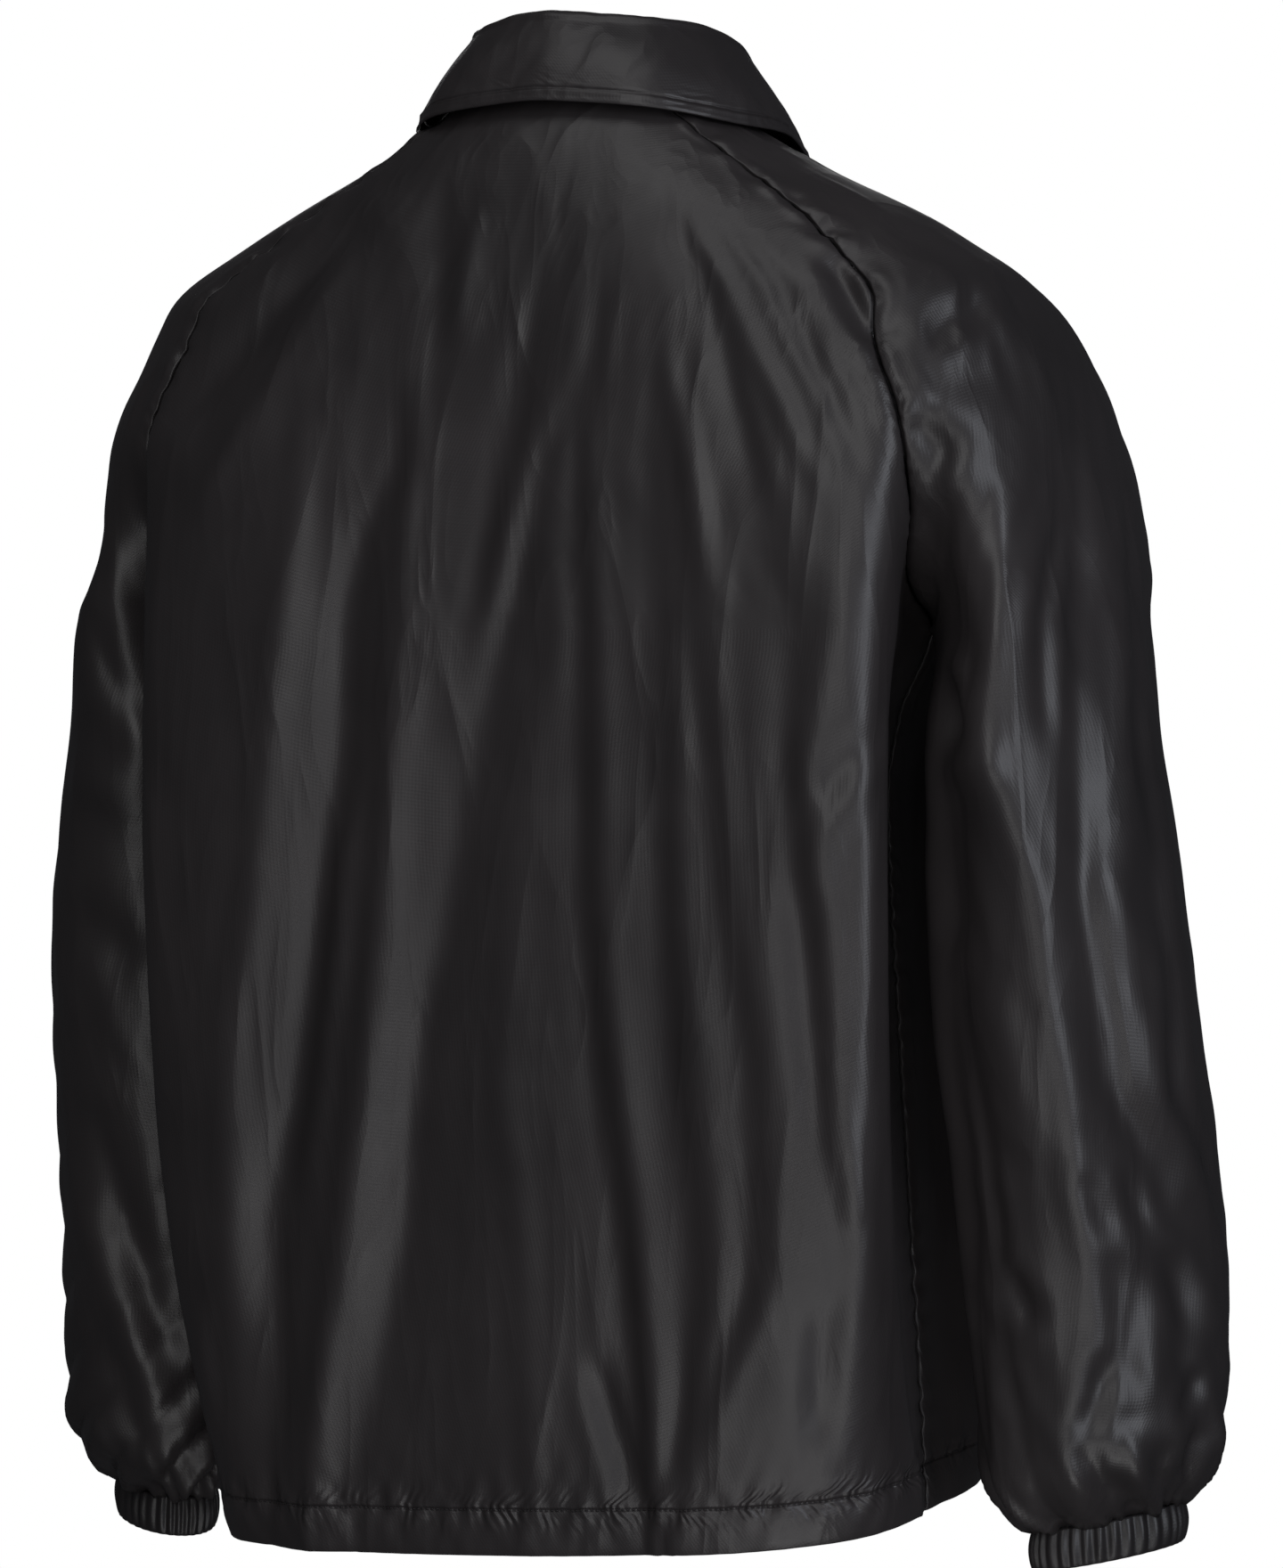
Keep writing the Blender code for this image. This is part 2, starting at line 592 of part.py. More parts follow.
def seam_shifts(grids):
    """Returns how far each point moves so that pieces which meet stand a seam gap apart.

    Two pieces move apart along the difference of the directions that lead into them. At the
    underarm point all move out from the body, the back and the front also to either side.
    """
    totals = {}
    for name, grid in grids.items():
        for edge, inner in seam_edges(name):
            for row, run in enumerate(seam_runs(name, grid, edge, inner)):
                key = point_key(grid[row, edge])
                totals[key] = totals.get(key, 0) + run
    shifts = {}
    for name, grid in grids.items():
        shift = np.zeros_like(grid)
        for edge, inner in seam_edges(name):
            for row, run in enumerate(seam_runs(name, grid, edge, inner)):
                place = grid[row, edge]
                apart = 2 * run - totals[point_key(place)]
                if row == RAGLAN_ROWS:
                    out = np.array([math.copysign(1, place[0]), 0, 0])
                    apart = out if name.startswith("sleeve") else run + out
                apart = apart / np.linalg.norm(apart)
                shift[row, edge] = apart * half_gap(place)
        shifts[name] = shift
    return shifts


def add_object(name, vertices, faces, finish):
    """Makes one named object from points and faces, with its finish, shaded smooth."""
    mesh = bpy.data.meshes.new(name)
    shape = bmesh.new()
    corners = [shape.verts.new(vertex) for vertex in vertices]
    for face in faces:
        shape.faces.new([corners[index] for index in face])
    bmesh.ops.recalc_face_normals(shape, faces=shape.faces)
    shape.to_mesh(mesh)
    shape.free()
    mesh.shade_smooth()
    mesh.set_sharp_from_angle(angle=math.radians(SHARP_ANGLE))
    mesh.materials.append(material(*finish))
    thing = bpy.data.objects.new(name, mesh)
    bpy.context.scene.collection.objects.link(thing)
    return thing


def material(name, colour, roughness, metallic):
    """Returns the named finish, made once."""
    found = bpy.data.materials.get(name)
    if found:
        return found
    made = bpy.data.materials.new(name)
    made.use_nodes = True
    shader = made.node_tree.nodes["Principled BSDF"]
    shader.inputs["Base Color"].default_value = (*colour, 1)
    shader.inputs["Roughness"].default_value = roughness
    shader.inputs["Metallic"].default_value = metallic
    return made


def wall_faces(rows, columns, closed_from=None):
    """Returns the faces of one side of a grid, its points numbered row by row.

    From row closed_from on, the last column is the first one again. Each cell's diagonal
    falls away from the nearer side edge, so pieces that meet at a seam fold the same way.
    """
    def number(row, column):
        if closed_from is not None and row >= closed_from and column == columns - 1:
            column = 0
        return row * columns + column

    faces = []
    for row in range(rows - 1):
        for column in range(columns - 1):
            above, below = number(row, column), number(row + 1, column)
            above_next, below_next = number(row, column + 1), number(row + 1, column + 1)
            if column < (columns - 1) // 2:
                faces.append([above, below, below_next])
                faces.append([above, below_next, above_next])
            else:
                faces.append([above, below, above_next])
                faces.append([below, below_next, above_next])
    return faces


def clean_faces(faces):
    """Drops the repeated corners that closed rows give, and faces with under three."""
    kept = []
    for face in faces:
        corners = [corner for place, corner in enumerate(face) if corner != face[place - 1]]
        if len(corners) > 2:
            kept.append(corners)
    return kept


def rim_faces(outer_faces, shift):
    """Joins the open edges of the outer side to the inner side, shift numbers on."""
    count = {}
    for face in outer_faces:
        for place, corner in enumerate(face):
            edge = (face[place - 1], corner)
            count[frozenset(edge)] = count.get(frozenset(edge), []) + [edge]
    rims = []
    for edges in count.values():
        if len(edges) == 1:
            first, second = edges[0]
            rims.append([second, first, first + shift, second + shift])
    return rims


def add_wall(name, outer, inner, finish, closed_from=None):
    """Makes a piece of cloth as a closed wall between two grids of the same shape."""
    rows, columns = outer.shape[:2]
    shift = rows * columns
    front = clean_faces(wall_faces(rows, columns, closed_from))
    behind = [[corner + shift for corner in reversed(face)] for face in front]
    faces = front + behind + rim_faces(front, shift)
    points = np.concatenate([outer.reshape(-1, 3), inner.reshape(-1, 3)])
    used = sorted({corner for face in faces for corner in face})
    place = {corner: index for index, corner in enumerate(used)}
    faces = [[place[corner] for corner in face] for face in faces]
    return add_object(name, [points[corner] for corner in used], faces, finish)


def wall_depths(name, grid):
    """Returns the wall at each point: doubled where the hem is turned up."""
    depths = np.full(grid.shape[:2], WALL)
    if not name.startswith("sleeve"):
        depths[-3] = (WALL + HEM_WALL) / 2
        depths[-2:] = HEM_WALL
    return depths


def make_panels():
    """Makes the back, the fronts and the sleeves. Returns each one's points and normals."""
    grids = {
        "back": back_grid(),
        "front_right": front_grid(-1),
        "front_left": front_grid(1),
        "sleeve_right": sleeve_grid(-1),
        "sleeve_left": sleeve_grid(1),
    }
    flips = {"back": 1, "front_right": 1, "front_left": -1, "sleeve_right": -1,
             "sleeve_left": 1}
    seam_normals = shared_normals(grids, flips)
    creased = {}
    for name, grid in grids.items():
        flat = grid.reshape(-1, 3)
        facing = seam_normals[name].reshape(-1, 3)
        depth = crease_depths(name, flat, facing, seam_fades(name, grid).ravel())
        creased[name] = (flat + facing * depth[:, None]).reshape(grid.shape)
        if name.startswith("sleeve"):
            creased[name][RAGLAN_ROWS + 1:, -1] = creased[name][RAGLAN_ROWS + 1:, 0]
    creased["front_right"] = tuck_under(creased["front_right"], seam_normals["front_right"])
    normals = shared_normals(creased, flips)
    shifts = seam_shifts(creased)
    for name, grid in creased.items():
        outer = grid + shifts[name]
        inner = outer - normals[name] * wall_depths(name, grid)[:, :, None]
        closed = RAGLAN_ROWS if name.startswith("sleeve") else None
        add_wall(name, outer, inner, NYLON, closed)
    return {name: (creased[name], normals[name]) for name in creased}


def make_cuff(name, hand):
    """Makes an elastic cuff: gathers round the outside over a plain inside."""
    top = RINGS[-1, 0] * MM
    count = CUFF_GATHERS * CUFF_GATHER_STEPS
    outer, inner = [], []
    for row in range(CUFF_ROWS + 1):
        part = row / CUFF_ROWS
        drop = SEAM_GAP + (CUFF_HEIGHT - SEAM_GAP) * part
        bulge = CUFF_BULGE * math.sin(math.pi * part)
        outer_row, inner_row = [], []
        for column in range(count + 1):
            turn = math.tau * (column % count) / count
            wave = CUFF_GATHER_DEPTH * (0.5 + 0.5 * math.cos(turn * CUFF_GATHERS))
            for points, grow in ((outer_row, bulge + wave - CUFF_GATHER_DEPTH / 2),
                                 (inner_row, bulge - CUFF_WALL)):
                x, y, z = ring_point(top, turn, grow)
                points.append((hand * x, y, z - drop))
        outer.append(outer_row)
        inner.append(inner_row)
    return add_wall(name, np.array(outer), np.array(inner), NYLON_RIB, 0)


def neck_seam(panels):
    """Returns the neck seam from the centre back to the right front's centre line.

    Each point comes with the direction that leads out of the cloth there.
    """
    middle = BACK_COLUMNS // 2
    runs = [("back", list(range(middle, BACK_COLUMNS + 1))),
            ("sleeve_right", list(range(SLEEVE_COLUMNS - 1, -1, -1))),
            ("front_right", list(range(1, CENTRE_COLUMN + 1)))]
    places, outs = [], []
    for name, columns in runs:
        for column in columns:
            place = panels[name][0][0, column]
            out = place - panels[name][0][1, column]
            places.append(place)
            outs.append(out / np.linalg.norm(out))
    return np.array(places), np.array(outs)


def collar_size(name, station):
    """Returns one column of the collar table at a station."""
    column = COLLAR[:, COLLAR_COLUMN_NAMES.index(name)]
    return float(smooth_value(COLLAR[:, 0], column, station)) * MM


def collar_profile(base, ridge, edge):
    """Returns the points of the collar across one station: stand, fold and fall."""
    away = (edge - ridge) * np.array([1, 1, 0])
    away = away / np.linalg.norm(away)
    stand_top = ridge - np.array([0, 0, COLLAR_FOLD])
    fall_top = stand_top + away * 2 * COLLAR_FOLD
    points = []
    for step in range(STAND_POINTS):
        part = step / STAND_POINTS
        bow = away * STAND_BOW * math.sin(math.pi * part)
        points.append(base + (stand_top - base) * part - bow)
    for step in range(FOLD_POINTS):
        turn = math.pi * step / FOLD_POINTS
        points.append(stand_top + away * COLLAR_FOLD * (1 - math.cos(turn))
                      + np.array([0, 0, COLLAR_FOLD * math.sin(turn)]))
    for step in range(FALL_POINTS + 1):
        part = step / FALL_POINTS
        bow = away * FALL_BOW * math.sin(math.pi * part)
        points.append(fall_top + (edge - fall_top) * part + bow)
    return points


def collar_grid(panels):
    """Returns the collar's shown side: stations along the neck seam, points across each."""
    places, outs = neck_seam(panels)
    length = np.append(0, np.cumsum(np.linalg.norm(np.diff(places, axis=0), axis=1)))
    end = length[-1] - COLLAR_END_GAP
    seams = [0, length[BACK_COLUMNS // 2] / end,
             length[BACK_COLUMNS // 2 + SLEEVE_COLUMNS] / end, 1]
    shares = [0.0]
    for run, count in enumerate(COLLAR_RUNS):
        shares += list(np.linspace(seams[run], seams[run + 1], count + 1)[1:])
    half = len(shares) - 1
    stations = []
    for column in range(-half, half + 1):
        share = shares[abs(column)]
        base = np.array([np.interp(share * end, length, places[:, axis]) for axis in range(3)])
        out = np.array([np.interp(share * end, length, outs[:, axis]) for axis in range(3)])
        ridge = np.array([-collar_size("ridge_out", share), collar_size("ridge_back", share),
                          collar_size("ridge_height", share)])
        edge = np.array([-collar_size("edge_out", share), collar_size("edge_back", share),
                         collar_size("edge_height", share)])
        profile = np.array(collar_profile(base + out * COLLAR_SEAT, ridge, edge))
        if column > 0:
            profile[:, 0] *= -1
        stations.append(profile)
    return np.array(stations)


def make_collar(panels):
    """Makes the collar round the neck seam, its ends meeting at the centre front."""
    grid = collar_grid(panels)
    normals = shared_normals({"collar": grid}, {"collar": -1})["collar"]
    add_wall("collar", grid, grid - normals * COLLAR_WALL, NYLON)


def turned_snap(name, place, normal, rings):
    """Makes a round snap piece on the cloth: rings of (radius, height) round its axis."""
    axis = normal / np.linalg.norm(normal)
    side = np.cross(axis, np.array([0, 0, 1.0]))
    side = side / np.linalg.norm(side)
    up = np.cross(side, axis)
    vertices, faces = [], []
    for radius, height in rings:
        for step in range(SNAP_SIDES):
            turn = math.tau * step / SNAP_SIDES
            vertices.append(place + axis * height
                            + (side * math.cos(turn) + up * math.sin(turn)) * radius)
    for ring in range(len(rings) - 1):
        for step in range(SNAP_SIDES):
            after = (step + 1) % SNAP_SIDES
            low, high = ring * SNAP_SIDES, (ring + 1) * SNAP_SIDES
            faces.append([low + step, low + after, high + after, high + step])
    faces.append(list(reversed(range(SNAP_SIDES))))
    faces.append([(len(rings) - 1) * SNAP_SIDES + step for step in range(SNAP_SIDES)])
    add_object(name, vertices, faces, SNAP_PAINT)


def centre_value(grid, heights, height):
    """Reads a front's grid on the centre line at a height."""
    column = grid[:, CENTRE_COLUMN]
    return np.array([np.interp(-height, -heights, column[:, axis]) for axis in range(3)])


def make_snaps(panels):
    """Makes the snaps' caps on the left front and their backs inside the right front."""
    left, left_normals = panels["front_left"]
    right, right_normals = panels["front_right"]
    heights = left[:, CENTRE_COLUMN, 2]
    top = heights[0] - SNAP_TOP_DROP
    bottom = heights[-1] + SNAP_BOTTOM_RISE
    cap_rings = [(SNAP_RADIUS - SNAP_RIM / 2, 0), (SNAP_RADIUS, SNAP_RIM / 2),
                 (SNAP_RADIUS, SNAP_RIM),
                 (SNAP_RADIUS * SNAP_SHOULDER, SNAP_HEIGHT * SNAP_SHOULDER),
                 (SNAP_RADIUS * SNAP_CROWN, SNAP_HEIGHT)]
    back_rings = [(SNAP_BACK_RADIUS, 0), (SNAP_BACK_RADIUS, SNAP_BACK_HEIGHT / 2),
                  (SNAP_BACK_RADIUS * SNAP_BACK_CROWN, SNAP_BACK_HEIGHT)]
    for number in range(SNAP_COUNT):
        height = top + (bottom - top) * number / (SNAP_COUNT - 1)
        out = centre_value(left_normals, heights, height)
        out = out / np.linalg.norm(out)
        place = centre_value(left, heights, height) + out * SNAP_GAP
        turned_snap(f"snap_cap_{number + 1}", place, out, cap_rings)
        inside = centre_value(right, heights, height) - out * (WALL + SNAP_GAP)
        turned_snap(f"snap_back_{number + 1}", inside, -out, back_rings)


def main():
    clear_scene()
    panels = make_panels()
    make_cuff("cuff_right", -1)
    make_cuff("cuff_left", 1)
    make_collar(panels)
    make_snaps(panels)


main()
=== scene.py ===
"""Looks of a worn coach jacket: thin nylon panels, sewn seams, a cased hem, gathered cuffs,
a turned-down collar and pressed snaps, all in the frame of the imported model.

Sizes are in metres unless a name says otherwise. The wearer's left side is +X, the back +Y.
"""
import math

import bpy
import numpy as np
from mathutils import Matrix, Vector


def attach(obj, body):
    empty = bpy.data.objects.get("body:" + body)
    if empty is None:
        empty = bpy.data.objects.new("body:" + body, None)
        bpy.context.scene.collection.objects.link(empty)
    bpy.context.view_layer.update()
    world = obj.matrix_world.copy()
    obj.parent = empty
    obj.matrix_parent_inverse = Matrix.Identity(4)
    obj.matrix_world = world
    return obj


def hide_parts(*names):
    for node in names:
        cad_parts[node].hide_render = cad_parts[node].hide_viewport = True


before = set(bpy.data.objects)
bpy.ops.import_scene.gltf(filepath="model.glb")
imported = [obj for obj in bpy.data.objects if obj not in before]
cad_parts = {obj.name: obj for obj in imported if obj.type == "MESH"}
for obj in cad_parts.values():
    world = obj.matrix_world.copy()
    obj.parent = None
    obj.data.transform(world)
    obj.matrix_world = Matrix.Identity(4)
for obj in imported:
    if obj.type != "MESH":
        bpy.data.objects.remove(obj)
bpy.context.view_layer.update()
MM = 0.001

# Camera: the photograph looks at the back from the wearer's right, level
CAMERA_AZIMUTH = 208
CAMERA_DISTANCE = 5.2
CAMERA_TARGET_HEIGHT = -0.333
CAMERA_TARGET_RIGHT = 0.0171
VIEW_HALF_HEIGHT = 0.4075
SENSOR = 36

# Studio: a pale floor far below, and soft lights that each look at the jacket from a
# direction in degrees and a distance in metres. The last column says if its shine shows
FLOOR_HEIGHT = -2.7
FLOOR_HALF_SIZE = 8
FLOOR_GLOW = 0.5
WORLD_TINT = 0.9, 0.92, 1, 1
WORLD_GLOW = 0.035
PLAIN = 1, 1, 1
COOL = 0.88, 0.92, 1.0
SOFTBOX_COLUMNS = "name", "azimuth", "elevation", "distance", "size", "power", "tint", "shines"
SOFTBOXES = (
    ("key_left", 192, 22, 3.0, (1.2, 2.6), 14, PLAIN, True),
    ("key_right", 246, 12, 3.0, (1.0, 3.0), 27, COOL, True),
    ("top", 175, 66, 3.0, (2.0, 1.4), 9, PLAIN, True),
    ("low", 206, -24, 3.0, (2.4, 0.9), 9, PLAIN, True),
    ("under", 222, -50, 1.7, (0.7, 0.5), 2.2, PLAIN, True),
    ("front_fill", 28, 25, 3.0, (1.8, 2.6), 70, PLAIN, False),
    ("front_gloss", 28, 8, 3.0, (1.0, 2.6), 9, PLAIN, True),
)

# Cloth. A gap of FAR says that a piece has no seam or stitching near
CLOTH = 0.45 * MM
FAR = 1.0
SEAM_GROOVE = 1.3 * MM
SEAM_GROOVE_WIDTH = 2.2 * MM
PUCKER_DEPTH = 1.0 * MM
PUCKER_REACH = 11 * MM
PUCKER_PITCH = 11 * MM
PUCKER_SIZES = 0.6, 1.8
PUCKER_WAVES = 6
PUCKER_PATCH = 38 * MM
PUCKER_PATCHY = 0.45
CLOSE_REACH = 22 * MM

# Body
UNDERARM_HEIGHT = -255 * MM
HEM_HEIGHT = -705.5 * MM
HEM_SLOPE = 0.165
HEM_LEAN = 0.025
CASING = 23 * MM
HEM_ROLL = 1.1 * MM
HEM_ROLL_TURNS = 45, 90, 135, 180
HEM_PUCKERS = 9
HEM_PUCKER_SIZES = 9, 30
HEM_PUCKER_SLANT = 0.9
HEM_PUCKER_HEIGHT = 1.6 * MM
HEM_PUCKER_LEVEL = 2.4
HEM_PUCKER_REACH = 11 * MM
HEM_BULGE = 1.2 * MM
HEM_GROOVE = 1.1 * MM
HEM_GROOVE_WIDTH = 1.9 * MM
HEM_SEAM_RUN = 6 * MM
HEM_SEAM_SHARE = 0.15
BACK_NECK_RISE = 5 * MM
FRONT_NECK_HEIGHT = -88 * MM
FRONT_NECK_SCOOP = 1.6
OVERLAP = 18 * MM
LAYER_STEP = 2.1 * MM
LAYER_RUN = 14 * MM
SIDE_TUCK = 2.2
UNDERARM_POINT = 0.54
UNDERARM_POINT_START = 0.45
UNDERARM_POINT_RUN = 70 * MM
RAGLAN_CROWDING = 0.055
CUFF_CROWDING = 0.06
RAGLAN_ROWS = 84
BODY_ROWS = 126
SLEEVE_ROWS = 128
BACK_COLUMNS = 188
FRONT_COLUMNS = 100
SLEEVE_COLUMNS = 128

# The body's half sections in millimetres, a row for each height
BODY_COLUMNS = (
    "height", "back_width", "back_corner", "back_depth", "back_round", "side_width",
    "side_place", "front_width", "front_corner", "front_depth", "front_round",
)
BODY = np.array([
    (25, 86, 0, 67, 2.0, 80, 0, 80, 0, 50, 2.0),
    (-10, 128, 5, 88, 2.2, 110, 0, 100, 0, 55, 2.0),
    (-50, 190, 12, 104, 2.4, 150, 0, 130, 5, 64, 2.2),
    (-90, 228, 28, 115, 2.8, 180, 0, 170, 12, 84, 2.4),
    (-130, 228, 60, 122, 3.2, 192, 2, 200, 30, 100, 2.8),
    (-180, 218, 90, 127, 3.7, 194, 4, 212, 50, 109, 3.2),
    (-255, 214, 102, 130, 4.0, 191, 6, 212, 66, 114, 3.6),
    (-300, 213, 106, 131, 4.2, 174, 8, 209, 67, 115, 3.8),
    (-340, 213, 106, 131, 4.2, 168, 8, 206, 68, 116, 3.8),
    (-470, 210, 98, 128, 4.0, 175, 8, 203, 66, 116, 3.8),
    (-570, 204, 78, 124, 3.8, 182, 10, 199, 60, 115, 3.6),
    (-650, 197, 48, 121, 3.3, 187, 10, 195, 40, 113, 3.2),
    (-705.5, 194, 24, 119, 3.0, 190, 10, 192, 20, 111, 3.0),
])

# The raglan seams and the shoulder, a row for each station from the neck to the underarm
RAGLAN_COLUMNS = (
    "station", "back_height", "back_share", "front_height", "front_share",
    "crest_out", "crest_back", "crest_height", "arc", "spread",
)
RAGLAN = np.array([
    (0.00, 26, 0.44, -8, 0.50, 72, 1, 12, 62, 52),
    (0.15, -20, 0.57, -45, 0.56, 131, -8, -20, 66, 60),
    (0.30, -58, 0.59, -82, 0.62, 198, -18, -54, 76, 74),
    (0.45, -94, 0.61, -118, 0.642, 245, -26, -90, 92, 85),
    (0.62, -136, 0.655, -152, 0.67, 268, -30, -135, 106, 87),
    (0.80, -186, 0.735, -192, 0.75, 281, -23, -185, 125, 85),
    (0.91, -226, 0.86, -228, 0.86, 288, -8, -221, 148, 83),
    (1.00, -255, 1.00, -255, 1.00, 293, 2, -247, 180, 80),
])

# The sleeve's rings below the underarm, in millimetres and degrees
RING_COLUMNS = (
    "height", "middle_out", "middle_back", "long", "short", "turn", "slope_out", "slope_back",
)
RINGS = np.array([
    (-320, 253, 3, 79, 55, 90, 0.07, 0.00),
    (-389, 258, 1, 80, 61, 90, 0.04, 0.00),
    (-458, 262, -5, 80, 63, 95, 0.02, -0.02),
    (-528, 268, -14, 78, 61, 102, 0.02, -0.04),
    (-597, 273, -18, 73, 58, 112, 0.05, -0.07),
    (-645, 276, -17, 68, 54, 120, 0.09, -0.10),
    (-675, 278, -12, 62, 48, 127, 0.12, -0.13),
    (-694, 278, -15, 52, 37, 132, 0.13, -0.13),
    (-705, 278, -19, 40, 25, 135, 0.13, -0.13),
])

# The collar in millimetres, a row for each station from the centre back to the front end
COLLAR_COLUMNS = (
    "station", "ridge_out", "ridge_back", "ridge_height", "edge_out", "edge_back", "edge_height",
)
COLLAR = np.array([
    (0.00, 0, 53, 63, 0, 82, 17),
    (0.22, 44, 41, 61, 60, 70, 12),
    (0.38, 62, 16, 57, 92, 36, 5),
    (0.50, 67, -7, 50, 103, -2, 1),
    (0.64, 63, -36, 26, 104, -44, -28),
    (0.82, 40, -66, -18, 88, -78, -72),
    (1.00, 5, -86, -64, 58, -103, -118),
])
COLLAR_THICKNESS = 1.3 * MM
COLLAR_FOLD = 3.5 * MM
COLLAR_END_GAP = 4 * MM
COLLAR_SEAT = 1.3 * MM
STAND_BOW = 1.5 * MM
FALL_BOW = 3.3 * MM
COLLAR_STITCH = 7 * MM
CENTRE_EASE = 0.08
STAND_POINTS = 10
FOLD_POINTS = 8
FALL_POINTS = 22
COLLAR_STATIONS = 74
COLLAR_PUCKER = 0.2
COLLAR_TRIM = 3

# The collar's relief: dents, the stitching's groove and puckers, and the rolled edge. The
# groove, puckers and roll fade in from FALL_START to FALL_RUN further across the collar
DENT_STRETCH = 0.45
DENT_PITCH = 66 * MM
DENT_DEPTH = 1.9 * MM
DENT_EDGE = 9 * MM
EDGE_GROOVE, EDGE_GROOVE_WIDTH = 0.6 * MM, 1.5 * MM
EDGE_ROLL, EDGE_ROLL_WIDTH = 0.5 * MM, 1.2 * MM
EDGE_PUCKER, EDGE_PUCKER_PITCH, EDGE_PUCKER_REACH = 0.35 * MM, 9 * MM, 4 * MM
EDGE_PUCKER_SHIFT, EDGE_PUCKER_SHIFT_RUN = 2, 21 * MM
FALL_START, FALL_RUN = 0.42, 0.1

# Nylon: its threads of 0.15 mm are too fine to show, and are drawn 1.8 mm apart. Blender's
# wave texture repeats every WAVE_METRE at scale 1
WAVE_METRE = 0.314
WEAVE_SCALE = 175.0
CREASE_LEAN = math.radians(14)

# Topstitching
STITCH_PITCH = 2.8 * MM
STITCH_LENGTH = 2.2 * MM
THREAD_WIDTH = 0.5 * MM
THREAD_HEIGHT = 0.36 * MM
STITCH_LIFT = 0.08 * MM
FRONT_STITCHES = 2 * MM, 30 * MM
NECK_TRIM, HEM_TRIM = 2, 1

# Cuffs
CUFF_HEIGHT = 19 * MM
CUFF_TUCK = 1.0 * MM
CUFF_ROWS = 12
CUFF_GATHERS = 34
CUFF_GATHER_STEPS = 10
CUFF_RIDGE = 1.7 * MM
CUFF_RIDGE_POWER = 0.8
CUFF_RIDGE_TWIST = 0.8
CUFF_RIDGE_ENDS = 0.45
CUFF_BENDS, CUFF_BEND_SIZES = (3, 5, 8), (0.2, 0.6)
CUFF_PATCHES, CUFF_PATCHY = (4, 7, 11), 0.35
CUFF_BULGE = 1.3 * MM
CUFF_WALL = 2.0 * MM
CUFF_INNER_SHARE = 0.6
CUFF_ROUND = 0.9 * MM
CUFF_CLOTH = 0.3 * MM

# Folds are placed as the photograph sees them, or straight ahead on the front
VIEW_TURN = 28
BACK_SIDE = 1
FRONT_SIDE = -1
FOLD_STEPS = 14
FOLD_SPREAD = 1.15
FOLD_RISE = 0.85
FOLD_LEAN = 0.45
FOLD_LEAN_REACH = 4 * MM
FOLD_END_POWER = 3.5
FOLD_TURN_AWAY = 2.2

# A fold's section, in half widths: its height, its flanks' slope, and how round and sharp
SECTION_HEIGHT = 1.25
SECTION_SLOPE = 0.85
SECTION_LEVEL = 1.1
CREST_ROUND = 0.12
FOOT_SHARP = 5

# Small creases all over the cloth: pitch, depth, how far they are drawn out, and their lean
BODY_CRUMPLE = 40 * MM, 0.7 * MM, 0.18, 0.1
SLEEVE_CRUMPLE = 30 * MM, 1.2 * MM, 0.2, 0.4
COLLAR_CRUMPLE = 24 * MM, 1.1 * MM, 0.7, 0
CRUMPLE_FLAT = 1.5
CRUMPLE_RAISE = 0.3
CRUMPLE_SMALL = 0.4
CRUMPLE_SIZES = 2, 0.9
CRUMPLE_BEND, CRUMPLE_BEND_SIZE = 0.25, 2.2
NOISE_WAVES = 7
NOISE_SIZES = 0.6, 1.5
NOISE_LEVEL = 3.2

# Gathers above a cuff: how many go round, and their reach, depth and drift to one side. A
# count above nought gives sharp ridges, and one below nought puffs with sharp valleys
GATHER_COUNTS = (-8, 13, -17, 26)
GATHER_REACH = 64 * MM
GATHER_REACHES = 6, 12
GATHER_DEPTH = 90 * MM
GATHER_DRIFT = 9
GATHER_DRIFT_RUN = 100 * MM
GATHER_LEVEL = 0.6
GATHER_CLOSE = 5 * MM
GATHER_CLOSE_SHARE = 0.55
GATHER_PATCHY = 0.25
GATHER_PATCHES = 2, 5

# The settling: the cloth's growth across and down, and how strongly it is held at each step
# to its placed folds, at its seams, in the front's lap, near a cuff and at both ends
SETTLE_BODY = 0.008, 0.001, 0.001
SETTLE_SLEEVE = 0.014, 0.003, 0.003
SETTLE_PATCH = 150 * MM
SETTLE_PATCHY = 0.5
SEAM_HOLD = 0.12
SEAM_HOLD_COLUMNS = 1.2
SEAM_EASE = 0.05
SEAM_EASE_REACH = 9 * MM
LAP_HOLD = 0.4
CUFF_HOLD = 0.04
CUFF_HOLD_REACH = 45 * MM
LOW_HOLD, LOW_HOLD_ROWS = 0.05, 4
NECK_HOLD, NECK_HOLD_ROWS = 0.5, 3
THREAD_STIFFNESS = 0.5
SLANT_STIFFNESS = 0.06
BEND = 0.007
SETTLE_STEPS = 260

# 1 where a panel's rows and columns already turn its normals outwards, and -1 elsewhere
PANEL_FLIPS = {"back": 1, "front_right": 1, "front_left": -1, "sleeve_right": -1,
               "sleeve_left": 1}

